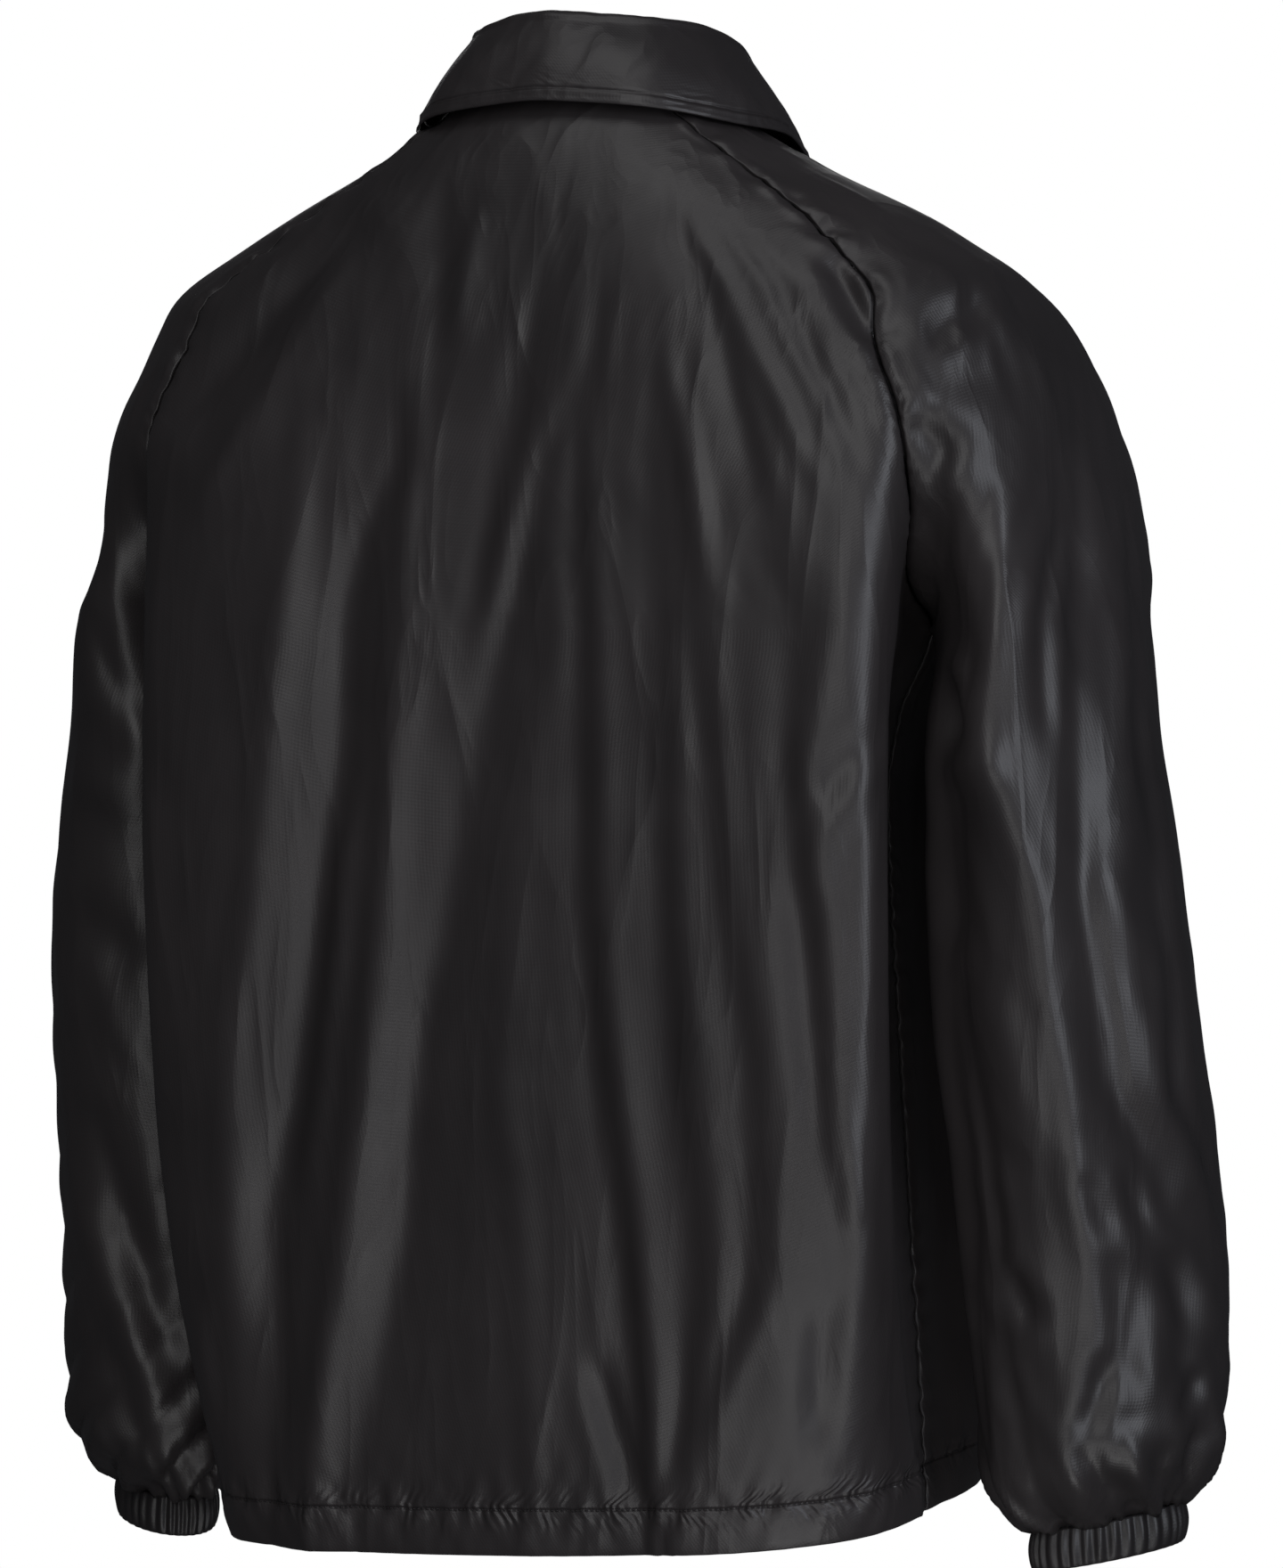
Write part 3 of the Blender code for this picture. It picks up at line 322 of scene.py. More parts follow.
# Folds in millimetres, by piece and by the side that each is seen from: three places along
# it (across to the right, height), its half width, its height (a trough is minus), and how
# far its steep side leans to the right, from -1 to 1
FOLD_COLUMNS = (
    "start_across", "start_height", "middle_across", "middle_height", "end_across",
    "end_height", "width", "rise", "lean",
)
FOLDS = {
    ("back", BACK_SIDE): [
        (-122, -36, -176, -88, -232, -152, 15, -8.5, -0.8),
        (-128, -44, -168, -120, -214, -196, 12, 5, 0.0),
        (-22, -40, -34, -90, -62, -170, 8, -1.6, -0.5),
        (34, -42, 60, -110, 84, -230, 8, -2.2, 0.5),
        (42, -48, 74, -110, 108, -190, 5, 1.5, -0.3),
        (58, -50, 94, -100, 122, -176, 5, 1.5, -0.3),
        (70, -56, 102, -110, 132, -190, 5, -2.0, 0.3),
        (28, -110, 44, -176, 56, -250, 6, 2, 0.3),
        (138, -308, 120, -318, 104, -346, 6, -3, 0.4),
        (134, -322, 112, -345, 100, -396, 5, 2, 0.4),
        (-131, -325, -137, -430, -155, -545, 4, 3.4, 0.5),
        (94, -375, 102, -440, 110, -515, 7, -4, -0.3),
        (126, -500, 125, -540, 121, -558, 2.5, 2.2, 0.3),
        (-8, -622, 2, -668, 14, -700, 4, -5, 0.3),
        (-210, -600, -206, -640, -201, -680, 5, 4, 0.0),
        (108, -590, 112, -630, 104, -668, 9, -4, 0.0),
        (-66, -40, -72, -70, -78, -110, 8, 3, 0.0),
        (-88, -20, -80, -70, -96, -160, 14, -2.6, -0.3),
        (112, -64, 122, -92, 146, -122, 9, -9, -0.8),
        (121, -66, 134, -94, 152, -124, 3.5, 4, 0.0),
    ],
    ("sleeve_right", BACK_SIDE): [
        (159, -116, 172, -97, 190, -89, 3.5, -3.4, 0.0),
        (165, -114, 179, -103, 192, -95, 3, -2, 0.0),
        (160, -122, 186, -112, 208, -96, 10, 3.2, 0.0),
        (212, -94, 220, -125, 222, -170, 12, 2.4, 0.2),
        (158, -130, 172, -126, 192, -119, 9, -2, 0.0),
        (150, -150, 163, -163, 174, -174, 10, -8, 0.2),
        (152, -176, 168, -180, 190, -186, 10, 2.4, 0.2),
        (230, -202, 211, -252, 223, -316, 5, -4, 0.2),
        (138, -258, 158, -264, 182, -278, 6, 6, 0.3),
        (136, -288, 154, -297, 174, -290, 17, -17, 0.0),
        (152, -330, 176, -318, 198, -330, 11, 6, 0.0),
        (142, -352, 152, -384, 158, -420, 15, -9, 0.0),
        (238, -150, 258, -250, 276, -330, 6, 3, 0.2),
        (240, -356, 262, -420, 276, -500, 7, 3, 0.2),
        (184, -430, 206, -470, 214, -520, 12, 4, 0.2),
        (236, -528, 246, -544, 252, -560, 4, -4, 0.0),
        (260, -528, 267, -543, 270, -556, 4, -4, 0.0),
        (254, -566, 258, -606, 254, -644, 5, -4, 0.0),
        (267, -568, 266, -610, 262, -644, 5, -3.5, 0.2),
        (276, -548, 302, -584, 311, -618, 5, 4, 0.2),
        (286, -566, 297, -596, 290, -640, 7, -5, 0.0),
        (288, -650, 297, -642, 302, -627, 3.5, -5, 0.0),
        (250, -618, 247, -640, 241, -663, 4, -6, 0.4),
        (236, -664, 248, -684, 254, -700, 5, -6, 0.2),
        (260, -656, 264, -680, 265, -700, 8, 5, 0.0),
        (283, -664, 276, -684, 271, -700, 5, -5, 0.0),
        (303, -658, 294, -678, 286, -698, 5, -6, 0.2),
        (311, -656, 301, -678, 293, -694, 4, 4, 0.2),
        (198, -580, 208, -592, 214, -606, 5, -5, 0.0),
    ],
    ("sleeve_right", FRONT_SIDE): [
        (-225, -180, -245, -270, -275, -360, 15, -8, 0.2),
        (-245, -330, -265, -420, -290, -500, 14, 6, 0.2),
        (-210, -140, -250, -200, -300, -220, 14, -6, 0.2),
        (-235, -560, -270, -590, -310, -600, 13, -7, 0.2),
        (-250, -610, -266, -650, -280, -690, 10, 6, 0.2),
    ],
    ("sleeve_left", BACK_SIDE): [
        (-288, -395, -265, -412, -245, -430, 13, -6, 0.0),
        (-262, -180, -258, -260, -240, -336, 12, 5, 0.2),
        (-276, -240, -262, -280, -236, -300, 10, -5, 0.0),
        (-284, -330, -262, -330, -240, -350, 10, 4, 0.0),
        (-276, -500, -258, -560, -226, -660, 12, -7, -0.2),
        (-284, -540, -256, -606, -232, -680, 10, 6, 0.2),
        (-272, -610, -256, -650, -246, -690, 9, -5, 0.0),
    ],
    ("sleeve_left", FRONT_SIDE): [
        (230, -190, 255, -280, 285, -350, 15, -8, 0.2),
        (240, -340, 262, -430, 295, -510, 14, 6, 0.2),
        (210, -140, 250, -200, 300, -220, 14, -6, 0.2),
        (230, -570, 270, -600, 315, -600, 13, -7, 0.2),
        (250, -610, 266, -650, 280, -690, 10, 6, 0.2),
    ],
    ("front_right", FRONT_SIDE): [
        (-140, -140, -105, -250, -60, -420, 17, -8, 0.3),
        (-185, -230, -150, -380, -125, -580, 18, 7, 0.3),
        (-80, -120, -62, -220, -58, -330, 14, 5, 0.3),
        (-170, -470, -130, -560, -70, -640, 16, -6, 0.3),
        (-110, -400, -90, -520, -84, -660, 14, 5, 0.0),
    ],
    ("front_left", FRONT_SIDE): [
        (128, -150, 92, -260, 66, -430, 17, -8, 0.3),
        (182, -240, 142, -400, 120, -590, 18, 7, 0.3),
        (70, -130, 58, -230, 52, -350, 14, 5, 0.3),
        (175, -450, 140, -550, 85, -650, 16, -6, 0.3),
        (104, -410, 92, -530, 78, -660, 14, 5, 0.0),
    ],
}

# Long flat facets between creases that run a piece's whole length. Each crease has its place
# across at these heights, and how far it stands proud there, all in millimetres
BACK_HEIGHTS = (-68, -114, -160, -205, -251, -319, -388, -479, -570, -638, -702)
BACK_PLACES = len(BACK_HEIGHTS)
BACK_FACETS = [
    ((-250,) * BACK_PLACES, (0,) * BACK_PLACES),
    ((-150, -152, -157, -159, -165, -172, -179, -192, -192, -192, -190),
     (0, 3.0, 5.0, 5.5, 5.5, 5.5, 5.5, 5.5, 4.5, 2.0, 1.0)),
    ((-105, -111, -107, -125, -135, -138, -148, -159, -174, -170, -175),
     (0, 1.5, -2.0, -3.0, -3.0, -3.0, -3.0, -3.0, -2.5, -2.0, -1.0)),
    ((-95, -97, -96, -103, -105, -109, -114, -121, -133, -144, -152),
     (0, 2.0, 2.0, 3.0, 3.5, 4.0, 4.0, 5.0, 5.0, 5.0, 3.5)),
    ((-36, -39, -52, -63, -68, -81, -93, -109, -118, -129, -138),
     (0, -1.3, -2.2, -1.8, -0.8, -1.0, -0.6, 0.4, 0.6, 1.0, 0.5)),
    ((-12, -16, -37, -49, -60, -74, -86, -104, -112, -124, -134),
     (0, 1.4, 1.6, 1.2, -0.8, -2.2, -1.9, -1.5, -1.1, -0.4, -0.3)),
    ((-3, -7, -31, -41, -55, -69, -81, -99, -107, -119, -131),
     (0, 0.0, -0.5, -1.5, -3.0, -3.0, -3.0, -3.0, -2.5, -1.5, -1.0)),
    ((4, 1, -24, -32, -26, -38, -49, -52, -42, -38, -38),
     (0, 1.5, 0.0, -0.2, -0.8, -0.5, 0.3, 1.5, 2.0, 2.2, 1.5)),
    ((8, 8, -14, -13, -13, -13, -15, -5, 6, 10, 18),
     (0, 1.0, -0.5, -1.0, -1.5, -1.8, -1.5, -2.0, -2.8, -3.4, -2.5)),
    ((15, 15, -9, -8, -7, -5, -2, 5, 16, 21, 24),
     (0, 1.0, 0.8, 0.8, 0.8, 1.0, 1.2, 1.2, 1.0, 0.5, 0.0)),
    ((24, 24, 21, 23, 24, 25, 27, 29, 39, 38, 28),
     (0, 0.5, -0.8, -1.2, -1.2, -1.2, -1.2, -1.5, -1.5, -1.5, -0.5)),
    ((31, 31, 31, 32, 33, 34, 35, 47, 55, 49, 33),
     (0, 0.8, 0.0, 0.0, 0.0, 0.3, 0.5, 1.2, 1.2, 1.2, 1.0)),
    ((37, 37, 37, 39, 42, 50, 56, 68, 70, 53, 35),
     (0, 0.5, 0.2, 0.2, 0.0, -0.8, -0.8, -1.2, -1.0, 0.5, 0.8)),
    ((43, 43, 42, 44, 47, 56, 63, 82, 86, 59, 39),
     (0, 0.5, 0.9, 0.9, 0.9, 0.8, 0.8, 0.8, 1.6, 2.0, 1.2)),
    ((60, 53, 60, 69, 90, 92, 96, 103, 119, 105, 99),
     (0, 0.3, 0.0, -0.3, -1.2, -1.1, -1.1, -1.0, -1.6, -1.2, -0.3)),
    ((81, 81, 99, 117, 116, 98, 105, 111, 126, 117, 113),
     (0, 0.0, 0.0, 0.5, 1.5, 1.5, 1.2, 1.5, 0.0, -1.0, 0.0)),
    ((117, 117, 122, 129, 135, 133, 122, 120, 138, 138, 138),
     (0, 0.0, 0.0, -0.6, -0.9, -1.2, -1.2, -1.2, -0.6, -0.6, 0.0)),
    ((230,) * BACK_PLACES, (0,) * BACK_PLACES),
]
SLEEVE_HEIGHTS = (-100, -114, -160, -205, -251, -297, -342, -388, -433, -479, -525, -570, -616,
                  -661, -702)
SLEEVE_PLACES = len(SLEEVE_HEIGHTS)
SLEEVE_FACETS = [
    ((100,) * SLEEVE_PLACES, (0,) * SLEEVE_PLACES),
    ((150, 150, 160, 168, 163, 165, 170, 172, 174, 181, 188, 195, 199, 206, 206),
     (0, 0, 0, -3, -4, -5, -6, -6, -5, -5, -5, -4, -3, -2, 0)),
    ((170, 170, 190, 196, 196, 189, 198, 213, 219, 228, 234, 241, 246, 243, 240),
     (0, 0, 2, 4, 4.5, 4.5, 5, 5, 5, 5, 5, 4.5, 4, 3, 0)),
    ((236, 236, 238, 238, 238, 238, 239, 240, 246, 253, 275, 290, 310, 311, 300),
     (0, 0, -1.5, -2.5, -3, -3, -3, -2.5, -3, -3, -3, -2.5, -1, 0, 0)),
    ((250, 250, 250, 258, 259, 259, 260, 258, 275, 277, 297, 312, 314, 314, 306),
     (0, 0, 1.5, 2, 2, 2, 2, 2, 2, 2, 1.5, 1, 0, 0, 0)),
    ((262, 262, 262, 264, 265, 266, 275, 278, 285, 284, 302, 315, 317, 317, 310),
     (0, 0, 0.2, 0, -0.5, -0.8, -0.8, -1, -1, -1.2, -1, 0, 0, 0, 0)),
    ((266, 266, 267, 267, 268, 269, 278, 283, 289, 292, 306, 318, 320, 320, 314),
     (0, 0, 0.4, 0.6, 0.8, 0.8, 0.8, 0.8, 0.8, 0.8, 0.5, 0, 0, 0, 0)),
    ((340,) * SLEEVE_PLACES, (0,) * SLEEVE_PLACES),
]
FACETS = {"back": (BACK_HEIGHTS, BACK_FACETS), "sleeve_right": (SLEEVE_HEIGHTS, SLEEVE_FACETS)}
FACET_RISE = 1.5
FACET_NECK_SHARE = 0.45
FACET_NECK_HEIGHT = -110
FACET_NECK_RUN = 180
FACET_TURN_AWAY = 3
FACET_LEAST_WIDTH = 0.5


def smooth_value(places, values, wanted):
    """Reads a table column at a place with a curve that never overshoots its rows."""
    places = np.asarray(places, float)
    values = np.asarray(values, float)
    if places[0] > places[-1]:
        places, values = places[::-1], values[::-1]
    run = np.diff(places)
    rise = np.diff(values) / run
    slope = np.zeros_like(values)
    same = rise[:-1] * rise[1:] > 0
    first = 2 * run[1:] + run[:-1]
    second = run[1:] + 2 * run[:-1]
    safe = np.where(same, rise[:-1], 1.0), np.where(same, rise[1:], 1.0)
    slope[1:-1] = np.where(same, (first + second) / (first / safe[0] + second / safe[1]), 0.0)
    slope[0] = rise[0]
    slope[-1] = rise[-1]
    wanted = np.clip(wanted, places[0], places[-1])
    cell = np.clip(np.searchsorted(places, wanted) - 1, 0, len(run) - 1)
    part = (wanted - places[cell]) / run[cell]
    rest = 1 - part
    return (values[cell] * (1 + 2 * part) * rest ** 2
            + values[cell + 1] * part ** 2 * (3 - 2 * part)
            + run[cell] * (slope[cell] * part * rest ** 2 - slope[cell + 1] * part ** 2 * rest))


def soft_step(value):
    """Goes from 0 to 1 with level ends."""
    value = np.clip(value, 0.0, 1.0)
    return value * value * (3 - 2 * value)


def table_value(table, columns, name, place):
    """Reads a named column of a table whose first column is in the unit of place."""
    return smooth_value(table[:, 0], table[:, columns.index(name)], place)


class BodyForm:
    """The body's surface, looked up by height and by share of the half section."""

    TOP = 26 * MM
    BOTTOM = -708 * MM
    HEIGHT_STEP = 1.5 * MM
    SHARES = 500
    CURVE_POINTS = 241
    SIDE_POINTS = 81

    def __init__(self):
        self.heights = np.arange(self.TOP, self.BOTTOM, -self.HEIGHT_STEP)
        self.points = {}
        self.lengths = {}
        for face in ("back", "front"):
            rows = [self.section(height, face) for height in self.heights]
            self.points[face] = np.array([row[0] for row in rows])
            self.lengths[face] = np.array([row[1] for row in rows])

    def section(self, height, face):
        """Returns the half section's points at even shares, and its length."""
        place = height / MM
        sizes = {name: float(table_value(BODY, BODY_COLUMNS, name, place))
                 for name in BODY_COLUMNS[1:]}
        width, corner = sizes[face + "_width"], sizes[face + "_corner"]
        depth, power = sizes[face + "_depth"], 2 / sizes[face + "_round"]
        sign = 1 if face == "back" else -1
        turn = np.linspace(0, math.pi / 2, self.CURVE_POINTS)
        out = width * np.sin(turn) ** power
        deep = corner + (depth - corner) * np.cos(turn).clip(0, 1) ** power
        left = np.linspace(1, 0, self.SIDE_POINTS)[1:]
        side, side_place = sizes["side_width"], sizes["side_place"] * sign
        out = np.append(out, side + (width - side) * soft_step(left) ** SIDE_TUCK)
        deep = np.append(deep, side_place + (corner - side_place) * left)
        length = np.append(0, np.cumsum(np.hypot(np.diff(out), np.diff(deep))))
        even = np.linspace(0, length[-1], self.SHARES + 1)
        points = np.stack([np.interp(even, length, out), np.interp(even, length, deep) * sign], 1)
        return points * MM, length[-1] * MM

    def row(self, height):
        """Returns the place of a height among the sections, and the part to the next."""
        place = (self.heights[0] - np.asarray(height)) / self.HEIGHT_STEP
        place = np.clip(place, 0, len(self.heights) - 1.001)
        return place.astype(int), place - place.astype(int)

    def length(self, height, face):
        """Returns the length of the half section at a height."""
        row, part = self.row(height)
        table = self.lengths[face]
        return table[row] * (1 - part) + table[row + 1] * part

    def point(self, height, face, share):
        """Returns points on the body; a minus share is on the other side of the centre."""
        height, share = np.broadcast_arrays(height, share)
        row, part = self.row(height)
        along = np.clip(np.abs(share), 0, 1) * self.SHARES
        column = np.minimum(along.astype(int), self.SHARES - 1)
        over = (along - column)[..., None]
        part = part[..., None]
        table = self.points[face]
        near = table[row, column] * (1 - over) + table[row, column + 1] * over
        far = table[row + 1, column] * (1 - over) + table[row + 1, column + 1] * over
        flat = near * (1 - part) + far * part
        return np.stack([flat[..., 0] * np.sign(share), flat[..., 1], height], axis=-1)


BODY_FORM = BodyForm()


def raglan_size(name, station):
    """Returns one column of the raglan table at a station."""
    value = table_value(RAGLAN, RAGLAN_COLUMNS, name, station)
    return value if name in ("back_share", "front_share", "arc") else value * MM


def hang_hem(points):
    """Lets the rows below the underarm hang lower at the back and on the wearer's left."""
    sloped = soft_step((UNDERARM_HEIGHT - points[..., 2]) / (UNDERARM_HEIGHT - HEM_HEIGHT))
    hung = points.copy()
    hung[..., 2] -= sloped * (HEM_SLOPE * points[..., 1] + HEM_LEAN * points[..., 0])
    return hung


def raglan_stations():
    """Returns the stations of the rows from the neck to the underarm."""
    part = np.linspace(0, 1, RAGLAN_ROWS + 1)
    return part - RAGLAN_CROWDING * np.sin(math.tau * part)


def body_heights():
    """Returns the heights of the rows below the underarm, down to the hem."""
    return np.linspace(UNDERARM_HEIGHT, HEM_HEIGHT, BODY_ROWS + 1)[1:]


def back_points(columns):
    """Returns the back's points, row by row, from the left seam to the right."""
    across = np.linspace(1, -1, columns + 1)[None, :]
    station = raglan_stations()[:, None]
    share = across * raglan_size("back_share", station)
    rise = BACK_NECK_RISE * (1 - across ** 2) * (1 - station) ** 2
    upper = BODY_FORM.point(raglan_size("back_height", station) + rise, "back", share)
    lower = BODY_FORM.point(body_heights()[:, None], "back", across)
    return hang_hem(np.concatenate([upper, lower]))


def front_points(hand, columns):
    """Returns a front's points from the side seam to its closing edge, past the centre."""
    station = raglan_stations()
    top = np.append(raglan_size("front_height", station), body_heights())[:, None]
    centre = np.append(FRONT_NECK_HEIGHT + (UNDERARM_HEIGHT - FRONT_NECK_HEIGHT) * station,
                       body_heights())[:, None]
    reach = np.append(raglan_size("front_share", station), np.ones(BODY_ROWS))[:, None]
    inner = -OVERLAP / BODY_FORM.length(centre, "front")
    share = reach + (inner - reach) * np.linspace(0, 1, columns + 1)[None, :]
    scoop = np.clip(share / reach, 0, 1) ** FRONT_NECK_SCOOP
    points = BODY_FORM.point(centre + (top - centre) * scoop, "front", share)
    points[..., 0] *= hand
    return hang_hem(points)


def shoulder_points(columns):
    """Returns the left sleeve's rows above the underarm, from the front seam to the back."""
    station = raglan_stations()
    back = BODY_FORM.point(raglan_size("back_height", station), "back",
                           raglan_size("back_share", station))
    front = BODY_FORM.point(raglan_size("front_height", station), "front",
                            raglan_size("front_share", station))
    crest = np.stack([raglan_size(name, station)
                      for name in ("crest_out", "crest_back", "crest_height")], axis=1)
    arc = np.radians(raglan_size("arc", station))[:, None]
    spread = raglan_size("spread", station)[:, None]
    middle = (back + front) / 2
    chord = back - front
    half = np.linalg.norm(chord, axis=1)[:, None] / 2
    sideways = np.where(half > MM, chord / np.maximum(2 * half, MM), (0.0, 1.0, 0.0))
    near = soft_step((station - UNDERARM_POINT_START) / (1 - UNDERARM_POINT_START))[:, None]
    turn = arc * np.linspace(-1, 1, columns + 1)[None, :]
    out = ((np.cos(turn) - np.cos(arc)) / (1 - np.cos(arc))).clip(0, 1)
    out = out ** (1 - (1 - UNDERARM_POINT) * near)
    wide = spread * np.sin(turn) + (half - spread * np.sin(arc)) * (turn / arc) ** 3
    points = (middle[:, None] + (crest - middle)[:, None] * out[..., None]
              + sideways[:, None] * wide[..., None])
    points[:, 0], points[:, -1] = front, back
    return points


def ring_table():
    """Returns the ring table with the row on top that the last shoulder row gives."""
    side = BODY_FORM.point(UNDERARM_HEIGHT, "back", 1.0)
    crest = np.array([raglan_size(name, 1.0)
                      for name in ("crest_out", "crest_back", "crest_height")])
    middle, reach = (side + crest) / 2, crest - side
    first = (middle[2] / MM, middle[0] / MM, middle[1] / MM, raglan_size("spread", 1.0) / MM,
             reach[0] / 2 / MM, 90, reach[2] / reach[0], 0)
    return np.vstack([first, RINGS])


RING_TABLE = ring_table()


def ring_points(height, turn, grow=0.0):
    """Returns points of the left sleeve's rings at heights, grown outwards by a length."""
    sizes = {name: table_value(RING_TABLE, RING_COLUMNS, name, height / MM)
             for name in RING_COLUMNS[1:]}
    lean = np.radians(sizes["turn"])
    long_part = (sizes["long"] * MM + grow) * np.cos(turn - lean)
    short_part = (sizes["short"] * MM + grow) * np.sin(turn - lean)
    out = long_part * np.cos(lean) - short_part * np.sin(lean)
    back = long_part * np.sin(lean) + short_part * np.cos(lean)
    near = 1 - soft_step((RING_TABLE[0, 0] * MM - height) / UNDERARM_POINT_RUN)
    part = (1 + np.cos(turn)) / 2
    out = out + 2 * sizes["short"] * MM * (part ** (1 - (1 - UNDERARM_POINT) * near) - part)
    rise = sizes["slope_out"] * out + sizes["slope_back"] * back
    return np.stack([sizes["middle_out"] * MM + out, sizes["middle_back"] * MM + back,
                     height + rise], axis=-1)


def sleeve_points(hand, columns):
    """Returns a sleeve's points, row by row, from the underarm seam over the outside."""
    part = np.linspace(0, 1, SLEEVE_ROWS + 1)[1:]
    part = part + CUFF_CROWDING * np.sin(math.pi * part)
    top, bottom = RING_TABLE[0, 0] * MM, RINGS[-1, 0] * MM
    height = (top + (bottom - top) * part)[:, None]
    turn = np.linspace(-math.pi, math.pi, columns + 1)[None, :]
    height, turn = np.broadcast_arrays(height, turn)
    points = np.concatenate([shoulder_points(columns), ring_points(height, turn)])
    points[..., 0] *= hand
    return points


def grid_normals(grid, flip, closed_from=None):
    """Returns a unit normal at each point of a grid."""
    down = np.gradient(grid, axis=0)
    over = np.gradient(grid, axis=1)
    if closed_from is not None:
        around = grid[closed_from:, 1] - grid[closed_from:, -2]
        over[closed_from:, 0] = over[closed_from:, -1] = around / 2
    normal = np.cross(down, over) * flip
    size = np.linalg.norm(normal, axis=2, keepdims=True)
    return normal / np.maximum(size, 1e-12)


def view_places(points, normals, side):
    """Returns points as a side sees them, across and height, and how far they face it."""
    if side == FRONT_SIDE:
        return points[:, [0, 2]], -normals[:, 1]
    turn = math.radians(VIEW_TURN)
    across = -points[:, 0] * math.cos(turn) - points[:, 1] * math.sin(turn)
    facing = normals[:, 1] * math.cos(turn) - normals[:, 0] * math.sin(turn)
    return np.stack([across, points[:, 2]], axis=1), facing


def fold_heights(name, points, normals):
    """Adds up the folds placed on a piece, in metres along the normal."""
    total = np.zeros(len(points))
    for side in (BACK_SIDE, FRONT_SIDE):
        place, facing = view_places(points, normals, side)
        for row in FOLDS.get((name, side), []):
            fold = dict(zip(FOLD_COLUMNS, row))
            ends = [np.array([fold[at + "_across"], fold[at + "_height"]]) * MM
                    for at in ("start", "middle", "end")]
            reach = 3 * fold["width"] * FOLD_SPREAD * MM
            low, high = np.min(ends, axis=0) - reach, np.max(ends, axis=0) + reach
            near = np.flatnonzero(((place > low) & (place < high)).all(axis=1) & (facing > 0))
            if len(near):
                total[near] += one_fold(fold, ends, place[near], facing[near])
    return total


def facet_heights(name, points, normals):
    """Returns the height of a piece's long facets, in metres along the normal."""
    heights, facets = FACETS[name]
    place, facing = view_places(points, normals, BACK_SIDE)
    height = place[:, 1] / MM
    across = place[:, 0] / MM
    lines = [[smooth_value(heights, values, height) for values in crease] for crease in facets]
    total = np.zeros(len(points))
    for (left, left_rise), (right, right_rise) in zip(lines, lines[1:]):
        part = (across - left) / np.maximum(right - left, FACET_LEAST_WIDTH)
        inside = (part >= 0) & (part < 1)
        total = np.where(inside, left_rise + (right_rise - left_rise) * part, total)
    below = soft_step((FACET_NECK_HEIGHT - height) / FACET_NECK_RUN)
    fade = FACET_NECK_SHARE + (1 - FACET_NECK_SHARE) * below
    return total * fade * FACET_RISE * MM * soft_step(facing * FACET_TURN_AWAY)


def one_fold(fold, ends, place, facing):
    """Returns one fold's height at places near it."""
    steps = np.linspace(0, 1, FOLD_STEPS + 1)[:, None]
    start, middle, end = ends
    line = start * (1 - steps) ** 2 + middle * 2 * steps * (1 - steps) + end * steps ** 2
    nearest = np.full(len(place), np.inf)
    signed = np.zeros(len(place))
    along = np.zeros(len(place))
    for step in range(FOLD_STEPS):
        run = line[step + 1] - line[step]
        away = place - line[step]
        part = np.clip(away @ run / (run @ run), 0, 1)
        gap = away - part[:, None] * run
        distance = np.linalg.norm(gap, axis=1)
        closer = distance < nearest
        right = np.sign(run[0] * away[:, 1] - run[1] * away[:, 0])
        nearest = np.where(closer, distance, nearest)
        signed = np.where(closer, distance * right, signed)
        along = np.where(closer, (step + part) / FOLD_STEPS, along)
    lean = 1 - FOLD_LEAN * fold["lean"] * np.tanh(signed / FOLD_LEAN_REACH)
    width = fold["width"] * FOLD_SPREAD * MM * lean
    taper = 1 - np.abs(2 * along - 1) ** FOLD_END_POWER
    shown = soft_step(facing * FOLD_TURN_AWAY)
    return fold["rise"] * FOLD_RISE * MM * tent(nearest / width) * taper * shown


def tent(away):
    """Returns a fold's section: straight flanks, a rounded crest and soft feet."""
    height = SECTION_HEIGHT - np.sqrt((away * SECTION_SLOPE) ** 2 + CREST_ROUND ** 2)
    return np.logaddexp(0, height * FOOT_SHARP) / FOOT_SHARP / SECTION_LEVEL


def soft_noise(points, scale, seed):
    """Returns smooth noise from -1 to 1 at points, the same every run."""
    rng = np.random.default_rng(seed)
    value = np.zeros(len(points))
    for _ in range(NOISE_WAVES):
        wave = rng.normal(size=3)
        wave *= rng.uniform(*NOISE_SIZES) * math.tau / scale / np.linalg.norm(wave)
        value += np.sin(points @ wave + rng.uniform(0, math.tau))
    return value / NOISE_LEVEL


def pressed_noise(points, scale, seed):
    """Returns noise whose hollows are pressed flat, with sharp creases between them."""
    hollow = np.tanh(CRUMPLE_FLAT * np.abs(soft_noise(points, scale, seed))) / CRUMPLE_FLAT
    return CRUMPLE_RAISE - hollow


def crumple(points, seed, pitch, depth, stretch, lean):
    """Returns small uneven creases, drawn out down the cloth and leaning to one side."""
    bent = points * (1, 1, stretch) - points[:, 2:] * (lean, 0, 0)
    bent = bent + CRUMPLE_BEND * pitch * np.stack(
        [soft_noise(points, CRUMPLE_BEND_SIZE * pitch, seed + axis) for axis in range(3)], axis=1)
    large, small = [pressed_noise(bent, size * pitch, seed + 3 + place)
                    for place, size in enumerate(CRUMPLE_SIZES)]
    return depth * (large + CRUMPLE_SMALL * small)


